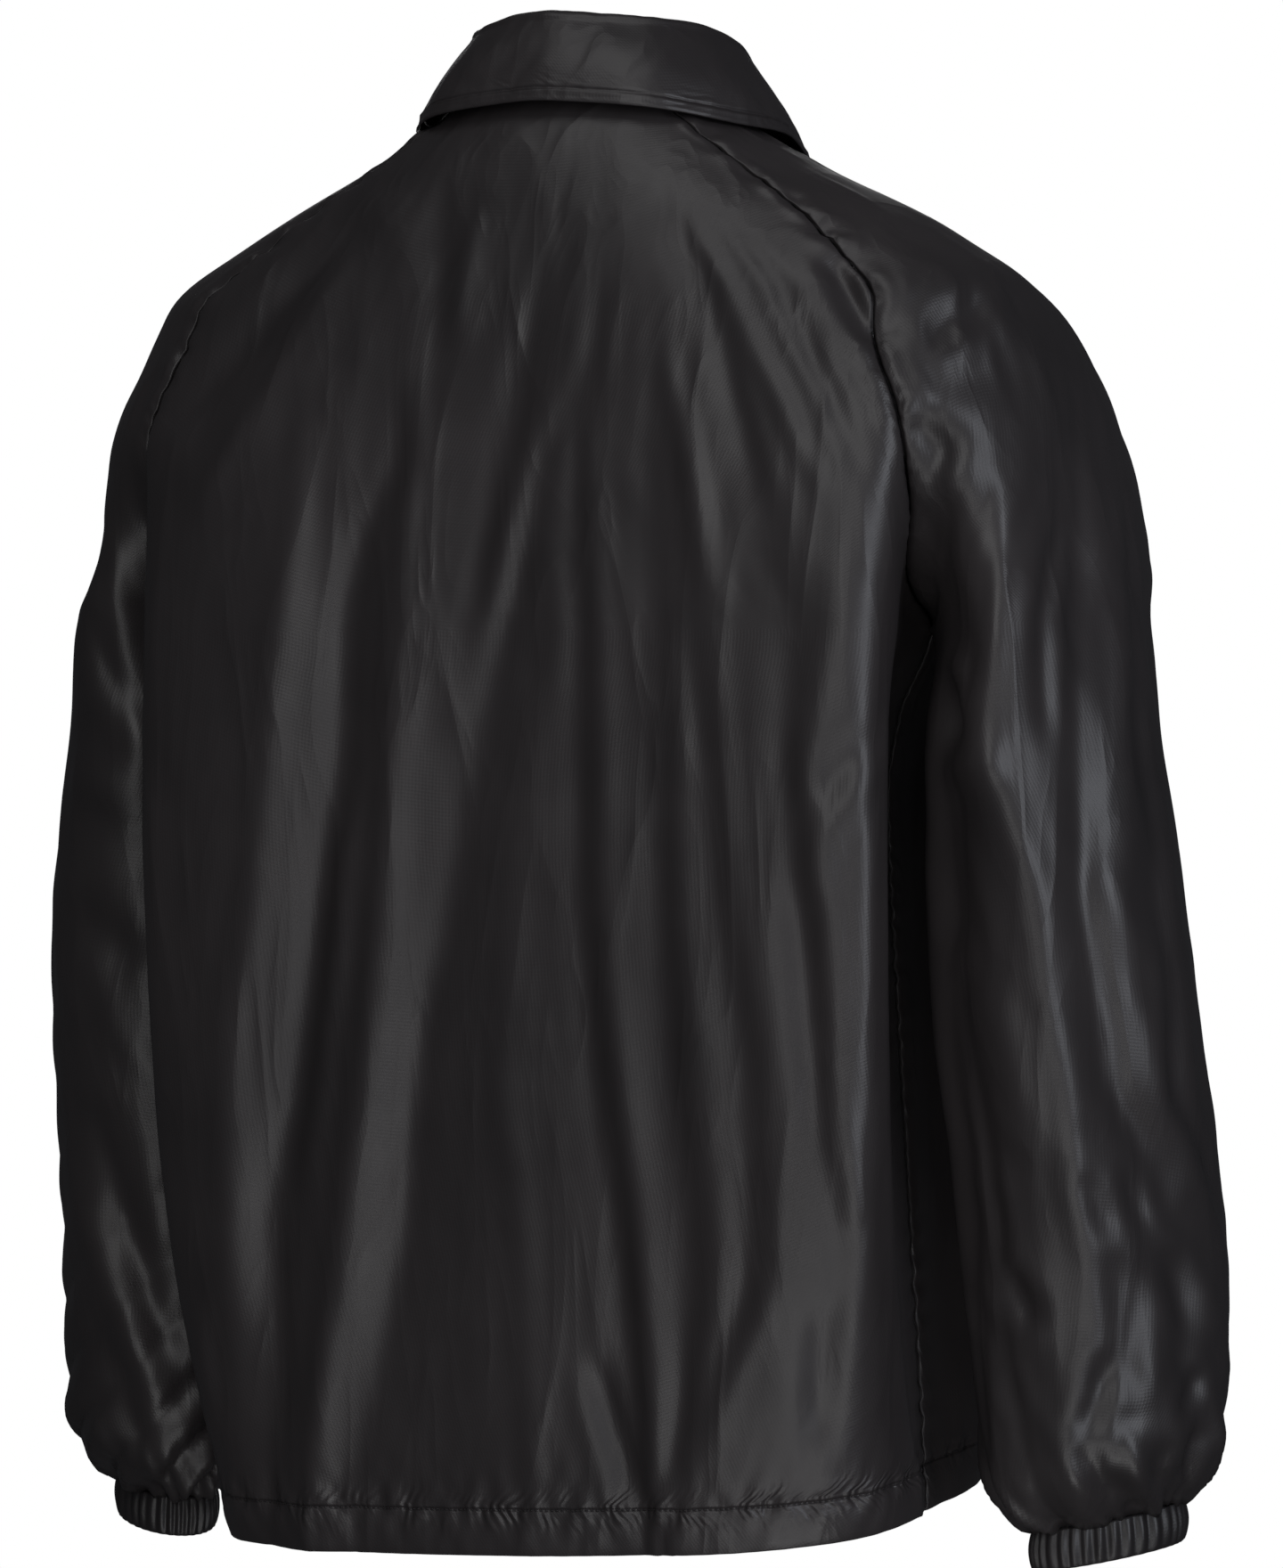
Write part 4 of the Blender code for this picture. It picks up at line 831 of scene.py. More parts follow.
def cuff_gathers(grid, seed):
    """Returns the sharp little folds that the cuff's elastic draws up above it."""
    above = end_distance(grid, -1)
    turn = np.linspace(0, math.tau, grid.shape[1])[None, :]
    rng = np.random.default_rng(seed)
    total = np.zeros(grid.shape[:2])
    for count in GATHER_COUNTS:
        drift = rng.uniform(-GATHER_DRIFT, GATHER_DRIFT) * above / GATHER_DRIFT_RUN
        place = count * turn / 2 + rng.uniform(0, math.tau) + drift
        crease = (GATHER_LEVEL - np.abs(np.sin(place))) / count
        patches = turn * rng.integers(*GATHER_PATCHES) + rng.uniform(0, math.tau)
        share = 1 - GATHER_PATCHY + GATHER_PATCHY * np.sin(patches)
        reach = rng.uniform(*GATHER_REACHES) / abs(count) * GATHER_REACH
        total += crease * share * np.exp(-above / reach)
    return total * GATHER_DEPTH * (1 - GATHER_CLOSE_SHARE * np.exp(-above / GATHER_CLOSE))


def edge_distance(grid, column):
    """Returns each point's distance along its row from an edge column."""
    step = np.linalg.norm(np.diff(grid, axis=1), axis=2)
    run = np.concatenate([np.zeros((len(grid), 1)), np.cumsum(step, axis=1)], axis=1)
    return run if column == 0 else run[:, -1:] - run


def end_distance(grid, row):
    """Returns each point's distance along its column from an end row."""
    return edge_distance(grid.transpose(1, 0, 2), row).T


def pucker(line, distance, seed):
    """Returns the groove and the puckers beside a seam whose points are line."""
    step = np.linalg.norm(np.diff(line, axis=0), axis=1)
    along = np.append(0, np.cumsum(step))
    rng = np.random.default_rng(seed)
    wave = np.zeros(len(line))
    for _ in range(PUCKER_WAVES):
        size = PUCKER_PITCH * rng.uniform(*PUCKER_SIZES)
        wave += rng.uniform(0.4, 1.0) * np.sin(math.tau * along / size + rng.uniform(0, 6))
    patches = np.sin(along / PUCKER_PATCH + rng.uniform(0, 6))
    strength = 1 - PUCKER_PATCHY + PUCKER_PATCHY * patches
    ripple = (wave / 2 * strength * PUCKER_DEPTH)[:, None] * np.exp(-distance / PUCKER_REACH)
    groove = -SEAM_GROOVE * np.exp(-(distance / SEAM_GROOVE_WIDTH) ** 2)
    return ripple + groove


def panel_grids():
    """Returns each panel's smooth grid of points."""
    return {
        "back": back_points(BACK_COLUMNS),
        "front_right": front_points(-1, FRONT_COLUMNS),
        "front_left": front_points(1, FRONT_COLUMNS),
        "sleeve_right": sleeve_points(-1, SLEEVE_COLUMNS),
        "sleeve_left": sleeve_points(1, SLEEVE_COLUMNS),
    }


def seam_pairs():
    """Returns the sewn edges: two pieces with their edge columns, and the rows that meet."""
    upper = slice(0, RAGLAN_ROWS + 1)
    lower = slice(RAGLAN_ROWS, None)
    return [
        ("back", -1, "sleeve_right", -1, upper), ("back", 0, "sleeve_left", -1, upper),
        ("front_right", 0, "sleeve_right", 0, upper), ("front_left", 0, "sleeve_left", 0, upper),
        ("back", -1, "front_right", 0, lower), ("back", 0, "front_left", 0, lower),
        ("sleeve_right", 0, "sleeve_right", -1, lower),
        ("sleeve_left", 0, "sleeve_left", -1, lower),
    ]


def own_seams(name):
    """Returns the edge column and the rows of each of a piece's own sewn edges."""
    found = []
    for first, first_column, second, second_column, rows in seam_pairs():
        for piece, column in ((first, first_column), (second, second_column)):
            if piece == name:
                found.append((column, rows))
    return found


def move_edge(grid, column, rows, wanted):
    """Moves an edge onto the wanted points and lets the move fade into the cloth."""
    part = grid[rows]
    fade = 1 - soft_step(edge_distance(part, column) / CLOSE_REACH)
    part += (wanted - part[:, column])[:, None] * fade[..., None]


def close_seams(grids):
    """Brings the two edges of each seam together."""
    for first, first_column, second, second_column, rows in seam_pairs():
        middle = (grids[first][rows][:, first_column] + grids[second][rows][:, second_column]) / 2
        move_edge(grids[first], first_column, rows, middle)
        move_edge(grids[second], second_column, rows, middle)
    for hand, side in ((1, "left"), (-1, "right")):
        point = grids["back"][RAGLAN_ROWS, 0 if hand > 0 else -1].copy()
        for name, column in ((f"front_{side}", 0), (f"sleeve_{side}", 0), (f"sleeve_{side}", -1)):
            grids[name][RAGLAN_ROWS, column] = point


def folded_panels():
    """Returns the panels' points with their folds, puckers and closed seams."""
    grids = panel_grids()
    folded = {}
    for number, (name, grid) in enumerate(grids.items()):
        sleeve, front = name.startswith("sleeve"), name.startswith("front")
        normals = grid_normals(grid, PANEL_FLIPS[name], RAGLAN_ROWS if sleeve else None)
        flat, facing = grid.reshape(-1, 3), normals.reshape(-1, 3)
        height = fold_heights(name, flat, facing)
        if name in FACETS:
            height += facet_heights(name, flat, facing)
        height = height.reshape(grid.shape[:2])
        sort = SLEEVE_CRUMPLE if sleeve else BODY_CRUMPLE
        height += crumple(flat, 5 + number, *sort).reshape(grid.shape[:2])
        for column, rows in own_seams(name):
            line = grid[rows][:, column]
            seed = int(abs(line[0, 0]) * 1e4) + rows.start + 1
            height[rows] += pucker(line, edge_distance(grid[rows], column), seed)
        level = np.zeros(grid.shape[:2])
        if front:
            past = edge_distance(grid, -1) - 2 * OVERLAP
            level = 1 - soft_step(past / LAYER_RUN)
            height *= 1 - level
        goal = grid + normals * height[..., None]
        hold = np.zeros(grid.shape[:2])
        if sleeve:
            hold = CUFF_HOLD * np.exp(-(end_distance(grid, -1) / CUFF_HOLD_REACH) ** 2)
        folded[name] = settle(goal, SETTLE_SLEEVE if sleeve else SETTLE_BODY, level, hold,
                              90 + number)
        if sleeve:
            folded[name] += normals * cuff_gathers(grid, 60 + number)[..., None]
        if name == "front_right":
            folded[name] -= normals * (LAYER_STEP * level)[..., None]
    close_seams(folded)
    return folded


def settle(goal, growth, level, hold, seed):
    """Lets a panel's cloth grow a little, so that it buckles into natural creases.

    Threads across, down and slantwise are springs. Level cloth, the front's lap, stays flat.
    """
    goal = goal.astype(np.float32)
    place = goal.copy()
    rows, columns = goal.shape[:2]
    uneven = soft_noise(goal.reshape(-1, 3), SETTLE_PATCH, seed).reshape(rows, columns)
    uneven = (1 + SETTLE_PATCHY * uneven.clip(-1, 1)) * (1 - level)
    side = np.minimum(edge_distance(goal, 0), edge_distance(goal, -1))
    seam = SEAM_EASE * np.exp(-(side / SEAM_EASE_REACH) ** 2) * (1 - level)
    over = np.linalg.norm(np.diff(goal, axis=1), axis=2) * (1 + growth[0] * uneven[:, 1:])
    down = np.linalg.norm(np.diff(goal, axis=0), axis=2) * (
        1 + growth[1] * uneven[1:] + seam[1:])
    slanted = 1 + (growth[0] + growth[1]) / 2
    slant = np.linalg.norm(goal[1:, 1:] - goal[:-1, :-1], axis=2) * slanted
    slope = np.linalg.norm(goal[1:, :-1] - goal[:-1, 1:], axis=2) * slanted
    edge = np.minimum(np.arange(columns), np.arange(columns)[::-1])[None, :]
    hold = (hold + growth[2] + SEAM_HOLD * np.exp(-(edge / SEAM_HOLD_COLUMNS) ** 2)
            + LAP_HOLD * level)
    hold[-LOW_HOLD_ROWS:] = np.maximum(hold[-LOW_HOLD_ROWS:], LOW_HOLD)
    hold[:NECK_HOLD_ROWS] = NECK_HOLD
    hold = hold[..., None].astype(np.float32)

    def push(first, second, rest, share):
        run = place[second] - place[first]
        size = np.sqrt((run * run).sum(axis=2))
        move = run * ((size - rest) / np.maximum(size, 1e-9) * share)[..., None]
        place[first] += move
        place[second] -= move

    def roughness(grid):
        change = np.zeros_like(grid)
        change[1:-1, 1:-1] = (grid[2:, 1:-1] + grid[:-2, 1:-1] + grid[1:-1, 2:]
                              + grid[1:-1, :-2] - 4 * grid[1:-1, 1:-1])
        return change

    every, before, after = slice(None), slice(None, -1), slice(1, None)
    for _ in range(SETTLE_STEPS):
        for start in (0, 1):
            push((every, slice(start, columns - 1, 2)), (every, slice(start + 1, columns, 2)),
                 over[:, start::2], THREAD_STIFFNESS)
            push((slice(start, rows - 1, 2), every), (slice(start + 1, rows, 2), every),
                 down[start::2], THREAD_STIFFNESS)
        push((before, before), (after, after), slant, SLANT_STIFFNESS)
        push((before, after), (after, before), slope, SLANT_STIFFNESS)
        place -= BEND * roughness(roughness(place))
        place += hold * (goal - place)
    return place.astype(float)


def mesh_object(name, points, faces, finish):
    """Makes a named mesh object from points, faces and a material."""
    mesh = bpy.data.meshes.new(name)
    mesh.from_pydata([tuple(point) for point in points], [], faces)
    mesh.update()
    mesh.shade_smooth()
    mesh.materials.append(finish)
    thing = bpy.data.objects.new(name, mesh)
    bpy.context.scene.collection.objects.link(thing)
    return thing


def grid_faces(rows, columns):
    """Returns the quads of a grid whose points run row by row."""
    number = np.arange(rows * columns).reshape(rows, columns)
    quads = np.stack([number[:-1, :-1], number[1:, :-1], number[1:, 1:], number[:-1, 1:]], -1)
    return quads.reshape(-1, 4).tolist()


def set_uv(thing, grid):
    """Gives a grid's mesh a UV map in metres along the cloth."""
    over = edge_distance(grid, 0)
    down = np.concatenate([np.zeros((1, grid.shape[1])),
                           np.cumsum(np.linalg.norm(np.diff(grid, axis=0), axis=2), axis=0)])
    places = np.stack([over, -down], axis=-1).reshape(-1, 2)
    mesh = thing.data
    layer = mesh.uv_layers.new(name="cloth")
    corners = np.zeros(len(mesh.loops), np.int32)
    mesh.loops.foreach_get("vertex_index", corners)
    layer.data.foreach_set("uv", places[corners].astype(np.float32).ravel())


def apply_modifiers(thing):
    """Replaces an object's mesh by what its modifiers make of it."""
    bpy.context.view_layer.update()
    result = thing.evaluated_get(bpy.context.evaluated_depsgraph_get())
    mesh = bpy.data.meshes.new_from_object(result)
    thing.modifiers.clear()
    thing.data = mesh


def orient(thing, flip):
    """Turns a shell's faces so that their fronts are the cloth's right side."""
    if flip < 0:
        thing.data.flip_normals()


def cloth_shell(name, grid, flip, finish, thickness=CLOTH, pucker=1.0, stitch_gap=None,
                seam_gap=None):
    """Makes a panel as a thin sheet of cloth with its thickness on the inside.

    The gaps to the nearest topstitching and seam stay on it for the nylon's fine puckers.
    """
    rows, columns = grid.shape[:2]
    thing = mesh_object(name, grid.reshape(-1, 3), grid_faces(rows, columns), finish)
    set_uv(thing, grid)
    for label, gap in (("stitch_gap", stitch_gap), ("seam_gap", seam_gap),
                       ("pucker", np.full((rows, columns), pucker))):
        gap = np.full((rows, columns), FAR) if gap is None else gap
        layer = thing.data.attributes.new(label, "FLOAT", "POINT")
        layer.data.foreach_set("value", gap.astype(np.float32).ravel())
    orient(thing, flip)
    wall = thing.modifiers.new("wall", "SOLIDIFY")
    wall.thickness = thickness
    wall.offset = -1
    apply_modifiers(thing)
    return thing


def with_hem(grid, normals):
    """Adds the turned-up hem: a roll round the lower edge and the inner layer of the casing."""
    below = grid[-1]
    inwards = -normals[-1]
    down = grid[-1] - grid[-3]
    down /= np.linalg.norm(down, axis=1, keepdims=True)
    rows = []
    for angle in np.radians(HEM_ROLL_TURNS):
        rows.append(below + inwards * HEM_ROLL * (1 - math.cos(angle))
                    + down * HEM_ROLL * math.sin(angle))
    pitch = np.linalg.norm(grid[-1] - grid[-2], axis=1).mean()
    count = int(CASING / pitch)
    for step in range(1, count + 1):
        rows.append(grid[-1 - step] - normals[-1 - step] * 2 * HEM_ROLL)
    return np.concatenate([grid, np.array(rows)])


def hem_relief(grid, seed):
    """Returns the casing's bulge, the groove of its stitching and the puckers above it."""
    rise = np.linalg.norm(np.diff(grid[::-1], axis=0), axis=2)
    height = np.concatenate([np.zeros((1, grid.shape[1])), np.cumsum(rise, axis=0)])[::-1]
    along = np.concatenate([[0], np.cumsum(np.linalg.norm(np.diff(grid[-1], axis=0), axis=1))])
    rng = np.random.default_rng(seed)
    ripple = np.zeros_like(height)
    for _ in range(HEM_PUCKERS):
        size = rng.uniform(*HEM_PUCKER_SIZES) * MM
        slant = rng.uniform(-HEM_PUCKER_SLANT, HEM_PUCKER_SLANT)
        phase = rng.uniform(0, math.tau)
        ripple += rng.uniform(0.4, 1) * np.sin(math.tau * (along[None] + slant * height) / size
                                               + phase)
    above = np.exp(-np.abs(height - CASING) / HEM_PUCKER_REACH)
    inside = np.sin(math.pi * height.clip(0, CASING) / CASING)
    bulge = np.where(height < CASING, HEM_BULGE * inside, 0)
    groove = -HEM_GROOVE * np.exp(-((height - CASING) / HEM_GROOVE_WIDTH) ** 2)
    return ripple / HEM_PUCKER_LEVEL * HEM_PUCKER_HEIGHT * above + bulge + groove


def seam_distance(name, grid):
    """Returns each point's distance to the nearest seam of its piece."""
    gap = np.full(grid.shape[:2], FAR)
    for column, rows in own_seams(name):
        gap[rows] = np.minimum(gap[rows], edge_distance(grid[rows], column))
    return gap


def make_panels(finish):
    """Makes the back, the fronts and the sleeves as cloth. Returns them and their points."""
    grids = folded_panels()
    things = {}
    for number, (name, grid) in enumerate(grids.items()):
        seam_gap = seam_distance(name, grid)
        stitch_gap = None
        if not name.startswith("sleeve"):
            normals = grid_normals(grid, PANEL_FLIPS[name])
            relief = hem_relief(grid, 40 + number)
            side = np.minimum(edge_distance(grid, 0), edge_distance(grid, -1))
            relief *= soft_step(side / HEM_SEAM_RUN + HEM_SEAM_SHARE)
            grid = grid + normals * relief[..., None]
            grids[name] = grid
            stitch_gap = end_distance(grid, -1) - CASING
            grid = with_hem(grid, grid_normals(grid, PANEL_FLIPS[name]))
            more = len(grid) - len(seam_gap)
            stitch_gap, seam_gap = [np.concatenate([gap, np.full((more, gap.shape[1]), FAR)])
                                    for gap in (stitch_gap, seam_gap)]
        things[name] = cloth_shell(name + "_cloth", grid, PANEL_FLIPS[name], finish,
                                   stitch_gap=stitch_gap, seam_gap=seam_gap)
    return things, grids


def cuff_grid(hand):
    """Returns a gathered cuff's points, outside, round the lower edge and up the inside."""
    turn = np.linspace(-math.pi, math.pi, CUFF_GATHERS * CUFF_GATHER_STEPS + 1)[None, :]
    rng = np.random.default_rng(11 + hand)
    bend = sum(rng.uniform(*CUFF_BEND_SIZES) * np.sin(turn * count + rng.uniform(0, 6))
               for count in CUFF_BENDS)
    patches = sum(np.sin(turn * count + rng.uniform(0, 6)) for count in CUFF_PATCHES)
    size = 1 + CUFF_PATCHY * patches / 2
    drop = np.linspace(-CUFF_TUCK, CUFF_HEIGHT, CUFF_ROWS + 1)[:, None]
    part = (drop / CUFF_HEIGHT).clip(0, 1)
    ridge = 0.5 + 0.5 * np.cos(turn * CUFF_GATHERS + bend + CUFF_RIDGE_TWIST * part)
    ends = CUFF_RIDGE_ENDS + (1 - CUFF_RIDGE_ENDS) * np.sin(math.pi * part) ** 0.5
    wave = CUFF_RIDGE * size * (ridge ** CUFF_RIDGE_POWER - 0.5) * ends
    bulge = CUFF_BULGE * np.sin(math.pi * part)
    top = np.full_like(turn + drop, RINGS[-1, 0] * MM)
    outer = ring_points(top, turn + 0 * drop, bulge + wave)
    outer[..., 2] -= drop
    inner = ring_points(top, turn + 0 * drop, bulge + wave * CUFF_INNER_SHARE - CUFF_WALL)
    inner[..., 2] -= drop
    low = (outer[-1] + inner[-1]) / 2 - (0, 0, CUFF_ROUND)
    grid = np.concatenate([outer, low[None], inner[::-1]])
    grid[..., 0] *= hand
    grid[:, -1] = grid[:, 0]
    return grid


def make_cuff(side, hand, finish):
    """Makes an elastic cuff as one gathered band, open at the top where the sleeve goes in."""
    return cloth_shell(f"cuff_{side}_cloth", cuff_grid(hand), hand, finish, CUFF_CLOTH)


def collar_size(name, station):
    """Returns one column of the collar table at a station."""
    return float(table_value(COLLAR, COLLAR_COLUMNS, name, station)) * MM


def neck_seam(grids):
    """Returns the neck seam from the centre back to the right front's centre, and its ups."""
    back, sleeve, front = grids["back"], grids["sleeve_right"], grids["front_right"]
    middle = back.shape[1] // 2
    centre = int(np.argmin(np.abs(front[0, :, 0])))
    runs = [back[:2, middle:], sleeve[:2, -2::-1], front[:2, 1:centre + 1]]
    tops = np.concatenate([run[0] for run in runs])
    outs = np.concatenate([run[0] - run[1] for run in runs])
    return tops, outs / np.linalg.norm(outs, axis=1, keepdims=True)


def collar_profile(base, ridge, edge):
    """Returns the points of the collar across one station: stand, fold and fall."""
    away = (edge - ridge) * np.array([1, 1, 0])
    away = away / np.linalg.norm(away)
    stand_top = ridge - np.array([0, 0, COLLAR_FOLD])
    fall_top = stand_top + away * 2 * COLLAR_FOLD
    points = []
    for step in range(STAND_POINTS):
        part = step / STAND_POINTS
        points.append(base + (stand_top - base) * part
                      - away * STAND_BOW * math.sin(math.pi * part))
    for step in range(FOLD_POINTS):
        turn = math.pi * step / FOLD_POINTS
        points.append(stand_top + away * COLLAR_FOLD * (1 - math.cos(turn))
                      + np.array([0, 0, COLLAR_FOLD * math.sin(turn)]))
    for step in range(FALL_POINTS + 1):
        part = step / FALL_POINTS
        points.append(fall_top + (edge - fall_top) * part
                      + away * FALL_BOW * math.sin(math.pi * part))
    return points


def collar_grid(grids):
    """Returns the collar's shown side: stations along the neck seam, points across each."""
    tops, outs = neck_seam(grids)
    length = np.append(0, np.cumsum(np.linalg.norm(np.diff(tops, axis=0), axis=1)))
    end = length[-1] - COLLAR_END_GAP
    stations = []
    for column in range(-COLLAR_STATIONS, COLLAR_STATIONS + 1):
        share = abs(column) / COLLAR_STATIONS
        level = share * (1 - math.exp(-share / CENTRE_EASE))
        base = np.array([np.interp(share * end, length, tops[:, axis]) for axis in range(3)])
        out = np.array([np.interp(share * end, length, outs[:, axis]) for axis in range(3)])
        ridge, edge = [np.array([-collar_size(part + "_out", share),
                                 collar_size(part + "_back", level),
                                 collar_size(part + "_height", level)])
                       for part in ("ridge", "edge")]
        profile = np.array(collar_profile(base + out * COLLAR_SEAT, ridge, edge))
        if column > 0:
            profile[:, 0] *= -1
        stations.append(profile)
    return np.array(stations)


def collar_relief(grid):
    """Returns the collar's soft dents and the groove of its stitching."""
    rows, columns = grid.shape[:2]
    across = np.linspace(0, 1, columns)[None, :]
    flat = grid.reshape(-1, 3)
    dents = soft_noise(flat * (1, 1, DENT_STRETCH), DENT_PITCH, 3) * DENT_DEPTH
    dents = (dents + crumple(flat, 8, *COLLAR_CRUMPLE)).reshape(rows, columns)
    edge = edge_distance(grid, -1)
    near = np.minimum(edge, np.minimum(end_distance(grid, 0), end_distance(grid, -1)))
    groove = -EDGE_GROOVE * np.exp(-((near - COLLAR_STITCH) / EDGE_GROOVE_WIDTH) ** 2)
    roll = -EDGE_ROLL * np.exp(-(near / EDGE_ROLL_WIDTH) ** 2)
    along = np.append(0, np.cumsum(np.linalg.norm(np.diff(grid[:, -1], axis=0), axis=1)))[:, None]
    shift = EDGE_PUCKER_SHIFT * np.sin(along / EDGE_PUCKER_SHIFT_RUN)
    puckers = EDGE_PUCKER * np.sin(math.tau * along / EDGE_PUCKER_PITCH + shift)
    puckers = puckers * np.exp(-np.abs(near - COLLAR_STITCH) / EDGE_PUCKER_REACH)
    fall = soft_step((across - FALL_START) / FALL_RUN)
    return dents * soft_step(near / DENT_EDGE) + (groove + roll + puckers) * fall


def make_collar(grids, finish):
    """Makes the collar as one folded band of two cloth layers."""
    grid = collar_grid(grids)
    normals = grid_normals(grid, -1)
    grid = grid + normals * collar_relief(grid)[..., None]
    gap = np.minimum(edge_distance(grid, -1),
                     np.minimum(end_distance(grid, 0), end_distance(grid, -1)))
    gap[:, :STAND_POINTS] = FAR
    return cloth_shell("collar_cloth", grid, -1, finish, COLLAR_THICKNESS, COLLAR_PUCKER,
                       stitch_gap=gap - COLLAR_STITCH), grid


def line_inside(grid, flip, distance):
    """Returns the points at a distance from a grid's last row, with their normals."""
    turned = grid[::-1]
    step = np.linalg.norm(np.diff(turned, axis=0), axis=2)
    run = np.concatenate([np.zeros((1, grid.shape[1])), np.cumsum(step, axis=0)])
    line = [[[np.interp(distance, run[:, column], values[:, column, axis]) for axis in range(3)]
             for column in range(grid.shape[1])]
            for values in (turned, grid_normals(grid, flip)[::-1])]
    points, normals = np.array(line)
    return points + normals * STITCH_LIFT, normals


def stitch_lines(panels, collar):
    """Returns the lines of topstitching on the hem, the closing edges and the collar."""
    lines = []
    for name in ("back", "front_right", "front_left"):
        lines.append(line_inside(panels[name], PANEL_FLIPS[name], CASING))
    for name in ("front_right", "front_left"):
        for distance in FRONT_STITCHES:
            points, normals = line_inside(panels[name].transpose(1, 0, 2), -PANEL_FLIPS[name],
                                          distance)
            lines.append((points[NECK_TRIM:-HEM_TRIM], normals[NECK_TRIM:-HEM_TRIM]))
    fall = collar[:, STAND_POINTS + FOLD_POINTS:]
    points, normals = line_inside(fall.transpose(1, 0, 2), 1, COLLAR_STITCH)
    lines.append((points[COLLAR_TRIM:-COLLAR_TRIM], normals[COLLAR_TRIM:-COLLAR_TRIM]))
    for end, flip in ((fall, -1), (fall[::-1], 1)):
        points, normals = line_inside(end, flip, COLLAR_STITCH)
        lines.append((points[:-COLLAR_TRIM], normals[:-COLLAR_TRIM]))
    return lines


def stitch_tree():
    """Builds the nodes that lay one bead of thread after another along lines of points."""
    tree = bpy.data.node_groups.new("stitch_rows", "GeometryNodeTree")
    sizes = ("Pitch", "Length", "Width", "Height")
    for name, kind in (("Geometry", "Geometry"), *((size, "Float") for size in sizes),
                       ("Thread", "Material")):
        tree.interface.new_socket(name, in_out="INPUT", socket_type="NodeSocket" + kind)
    tree.interface.new_socket("Geometry", in_out="OUTPUT", socket_type="NodeSocketGeometry")
    given = add_node(tree, "NodeGroupInput").outputs
    curve = add_node(tree, "GeometryNodeMeshToCurve", {"Mesh": given["Geometry"]})
    even = add_node(tree, "GeometryNodeResampleCurve",
                    {"Curve": curve.outputs["Curve"], "Length": given["Pitch"]}, mode="LENGTH")
    outward = add_node(tree, "GeometryNodeInputNamedAttribute", {"Name": "outward"},
                       data_type="FLOAT_VECTOR")
    along = add_node(tree, "GeometryNodeInputTangent")
    stand = add_node(tree, "FunctionNodeAlignRotationToVector",
                     {"Vector": outward.outputs["Attribute"]}, axis="Z")
    turn = add_node(tree, "FunctionNodeAlignRotationToVector",
                    {"Rotation": stand.outputs["Rotation"], "Vector": along.outputs["Tangent"]},
                    axis="X", pivot_axis="Z")
    size = add_node(tree, "ShaderNodeCombineXYZ", {"X": given["Length"], "Y": given["Width"],
                    "Z": given["Height"]})
    bead = add_node(tree, "GeometryNodeMeshIcoSphere", {"Radius": 0.5, "Subdivisions": 1})
    put = add_node(tree, "GeometryNodeInstanceOnPoints",
                   {"Points": even.outputs["Curve"], "Instance": bead.outputs["Mesh"],
                    "Rotation": turn.outputs["Rotation"], "Scale": size.outputs["Vector"]})
    real = add_node(tree, "GeometryNodeRealizeInstances", {"Geometry": put.outputs["Instances"]})
    smooth = add_node(tree, "GeometryNodeSetShadeSmooth", {"Geometry": real.outputs["Geometry"]})
    dyed = add_node(tree, "GeometryNodeSetMaterial", {"Geometry": smooth.outputs["Geometry"],
                    "Material": given["Thread"]})
    add_node(tree, "NodeGroupOutput", {"Geometry": dyed.outputs["Geometry"]})
    return tree


def make_stitches(lines, finish):
    """Sews every line of topstitching and returns the stitches as one piece."""
    points = np.concatenate([line[0] for line in lines])
    normals = np.concatenate([line[1] for line in lines])
    mesh = bpy.data.meshes.new("topstitching")
    edges, start = [], 0
    for line, _ in lines:
        edges += [(start + step, start + step + 1) for step in range(len(line) - 1)]
        start += len(line)
    mesh.from_pydata(points.tolist(), edges, [])
    outward = mesh.attributes.new("outward", "FLOAT_VECTOR", "POINT")
    outward.data.foreach_set("vector", normals.astype(np.float32).ravel())
    thing = bpy.data.objects.new("topstitching", mesh)
    bpy.context.scene.collection.objects.link(thing)
    rows = thing.modifiers.new("stitch rows", "NODES")
    rows.node_group = stitch_tree()
    wanted = {"Pitch": STITCH_PITCH, "Length": STITCH_LENGTH, "Width": THREAD_WIDTH,
              "Height": THREAD_HEIGHT, "Thread": finish}
    for item in rows.node_group.interface.items_tree:
        if item.in_out == "INPUT" and item.name in wanted:
            rows[item.identifier] = wanted[item.name]
    apply_modifiers(thing)
    return thing


def linear(code):
    """Turns an sRGB hex colour to linear values."""
    values = [int(code[place:place + 2], 16) / 255 for place in (1, 3, 5)]
    return tuple(v / 12.92 if v <= 0.04045 else ((v + 0.055) / 1.055) ** 2.4 for v in values)


def add_node(tree, kind, links=None, **settings):
    """Adds a node with its settings; links gives each input's value or the socket it takes."""
    node = tree.nodes.new(kind)
    for name, value in settings.items():
        setattr(node, name, value)
    for socket, value in (links or {}).items():
        if isinstance(value, bpy.types.NodeSocket):
            tree.links.new(value, node.inputs[socket])
        else:
            node.inputs[socket].default_value = value
    return node


def new_material(name):
    """Returns a new material, its tree and its Principled shader."""
    made = bpy.data.materials.new(name)
    made.use_nodes = True
    return made, made.node_tree, made.node_tree.nodes["Principled BSDF"]


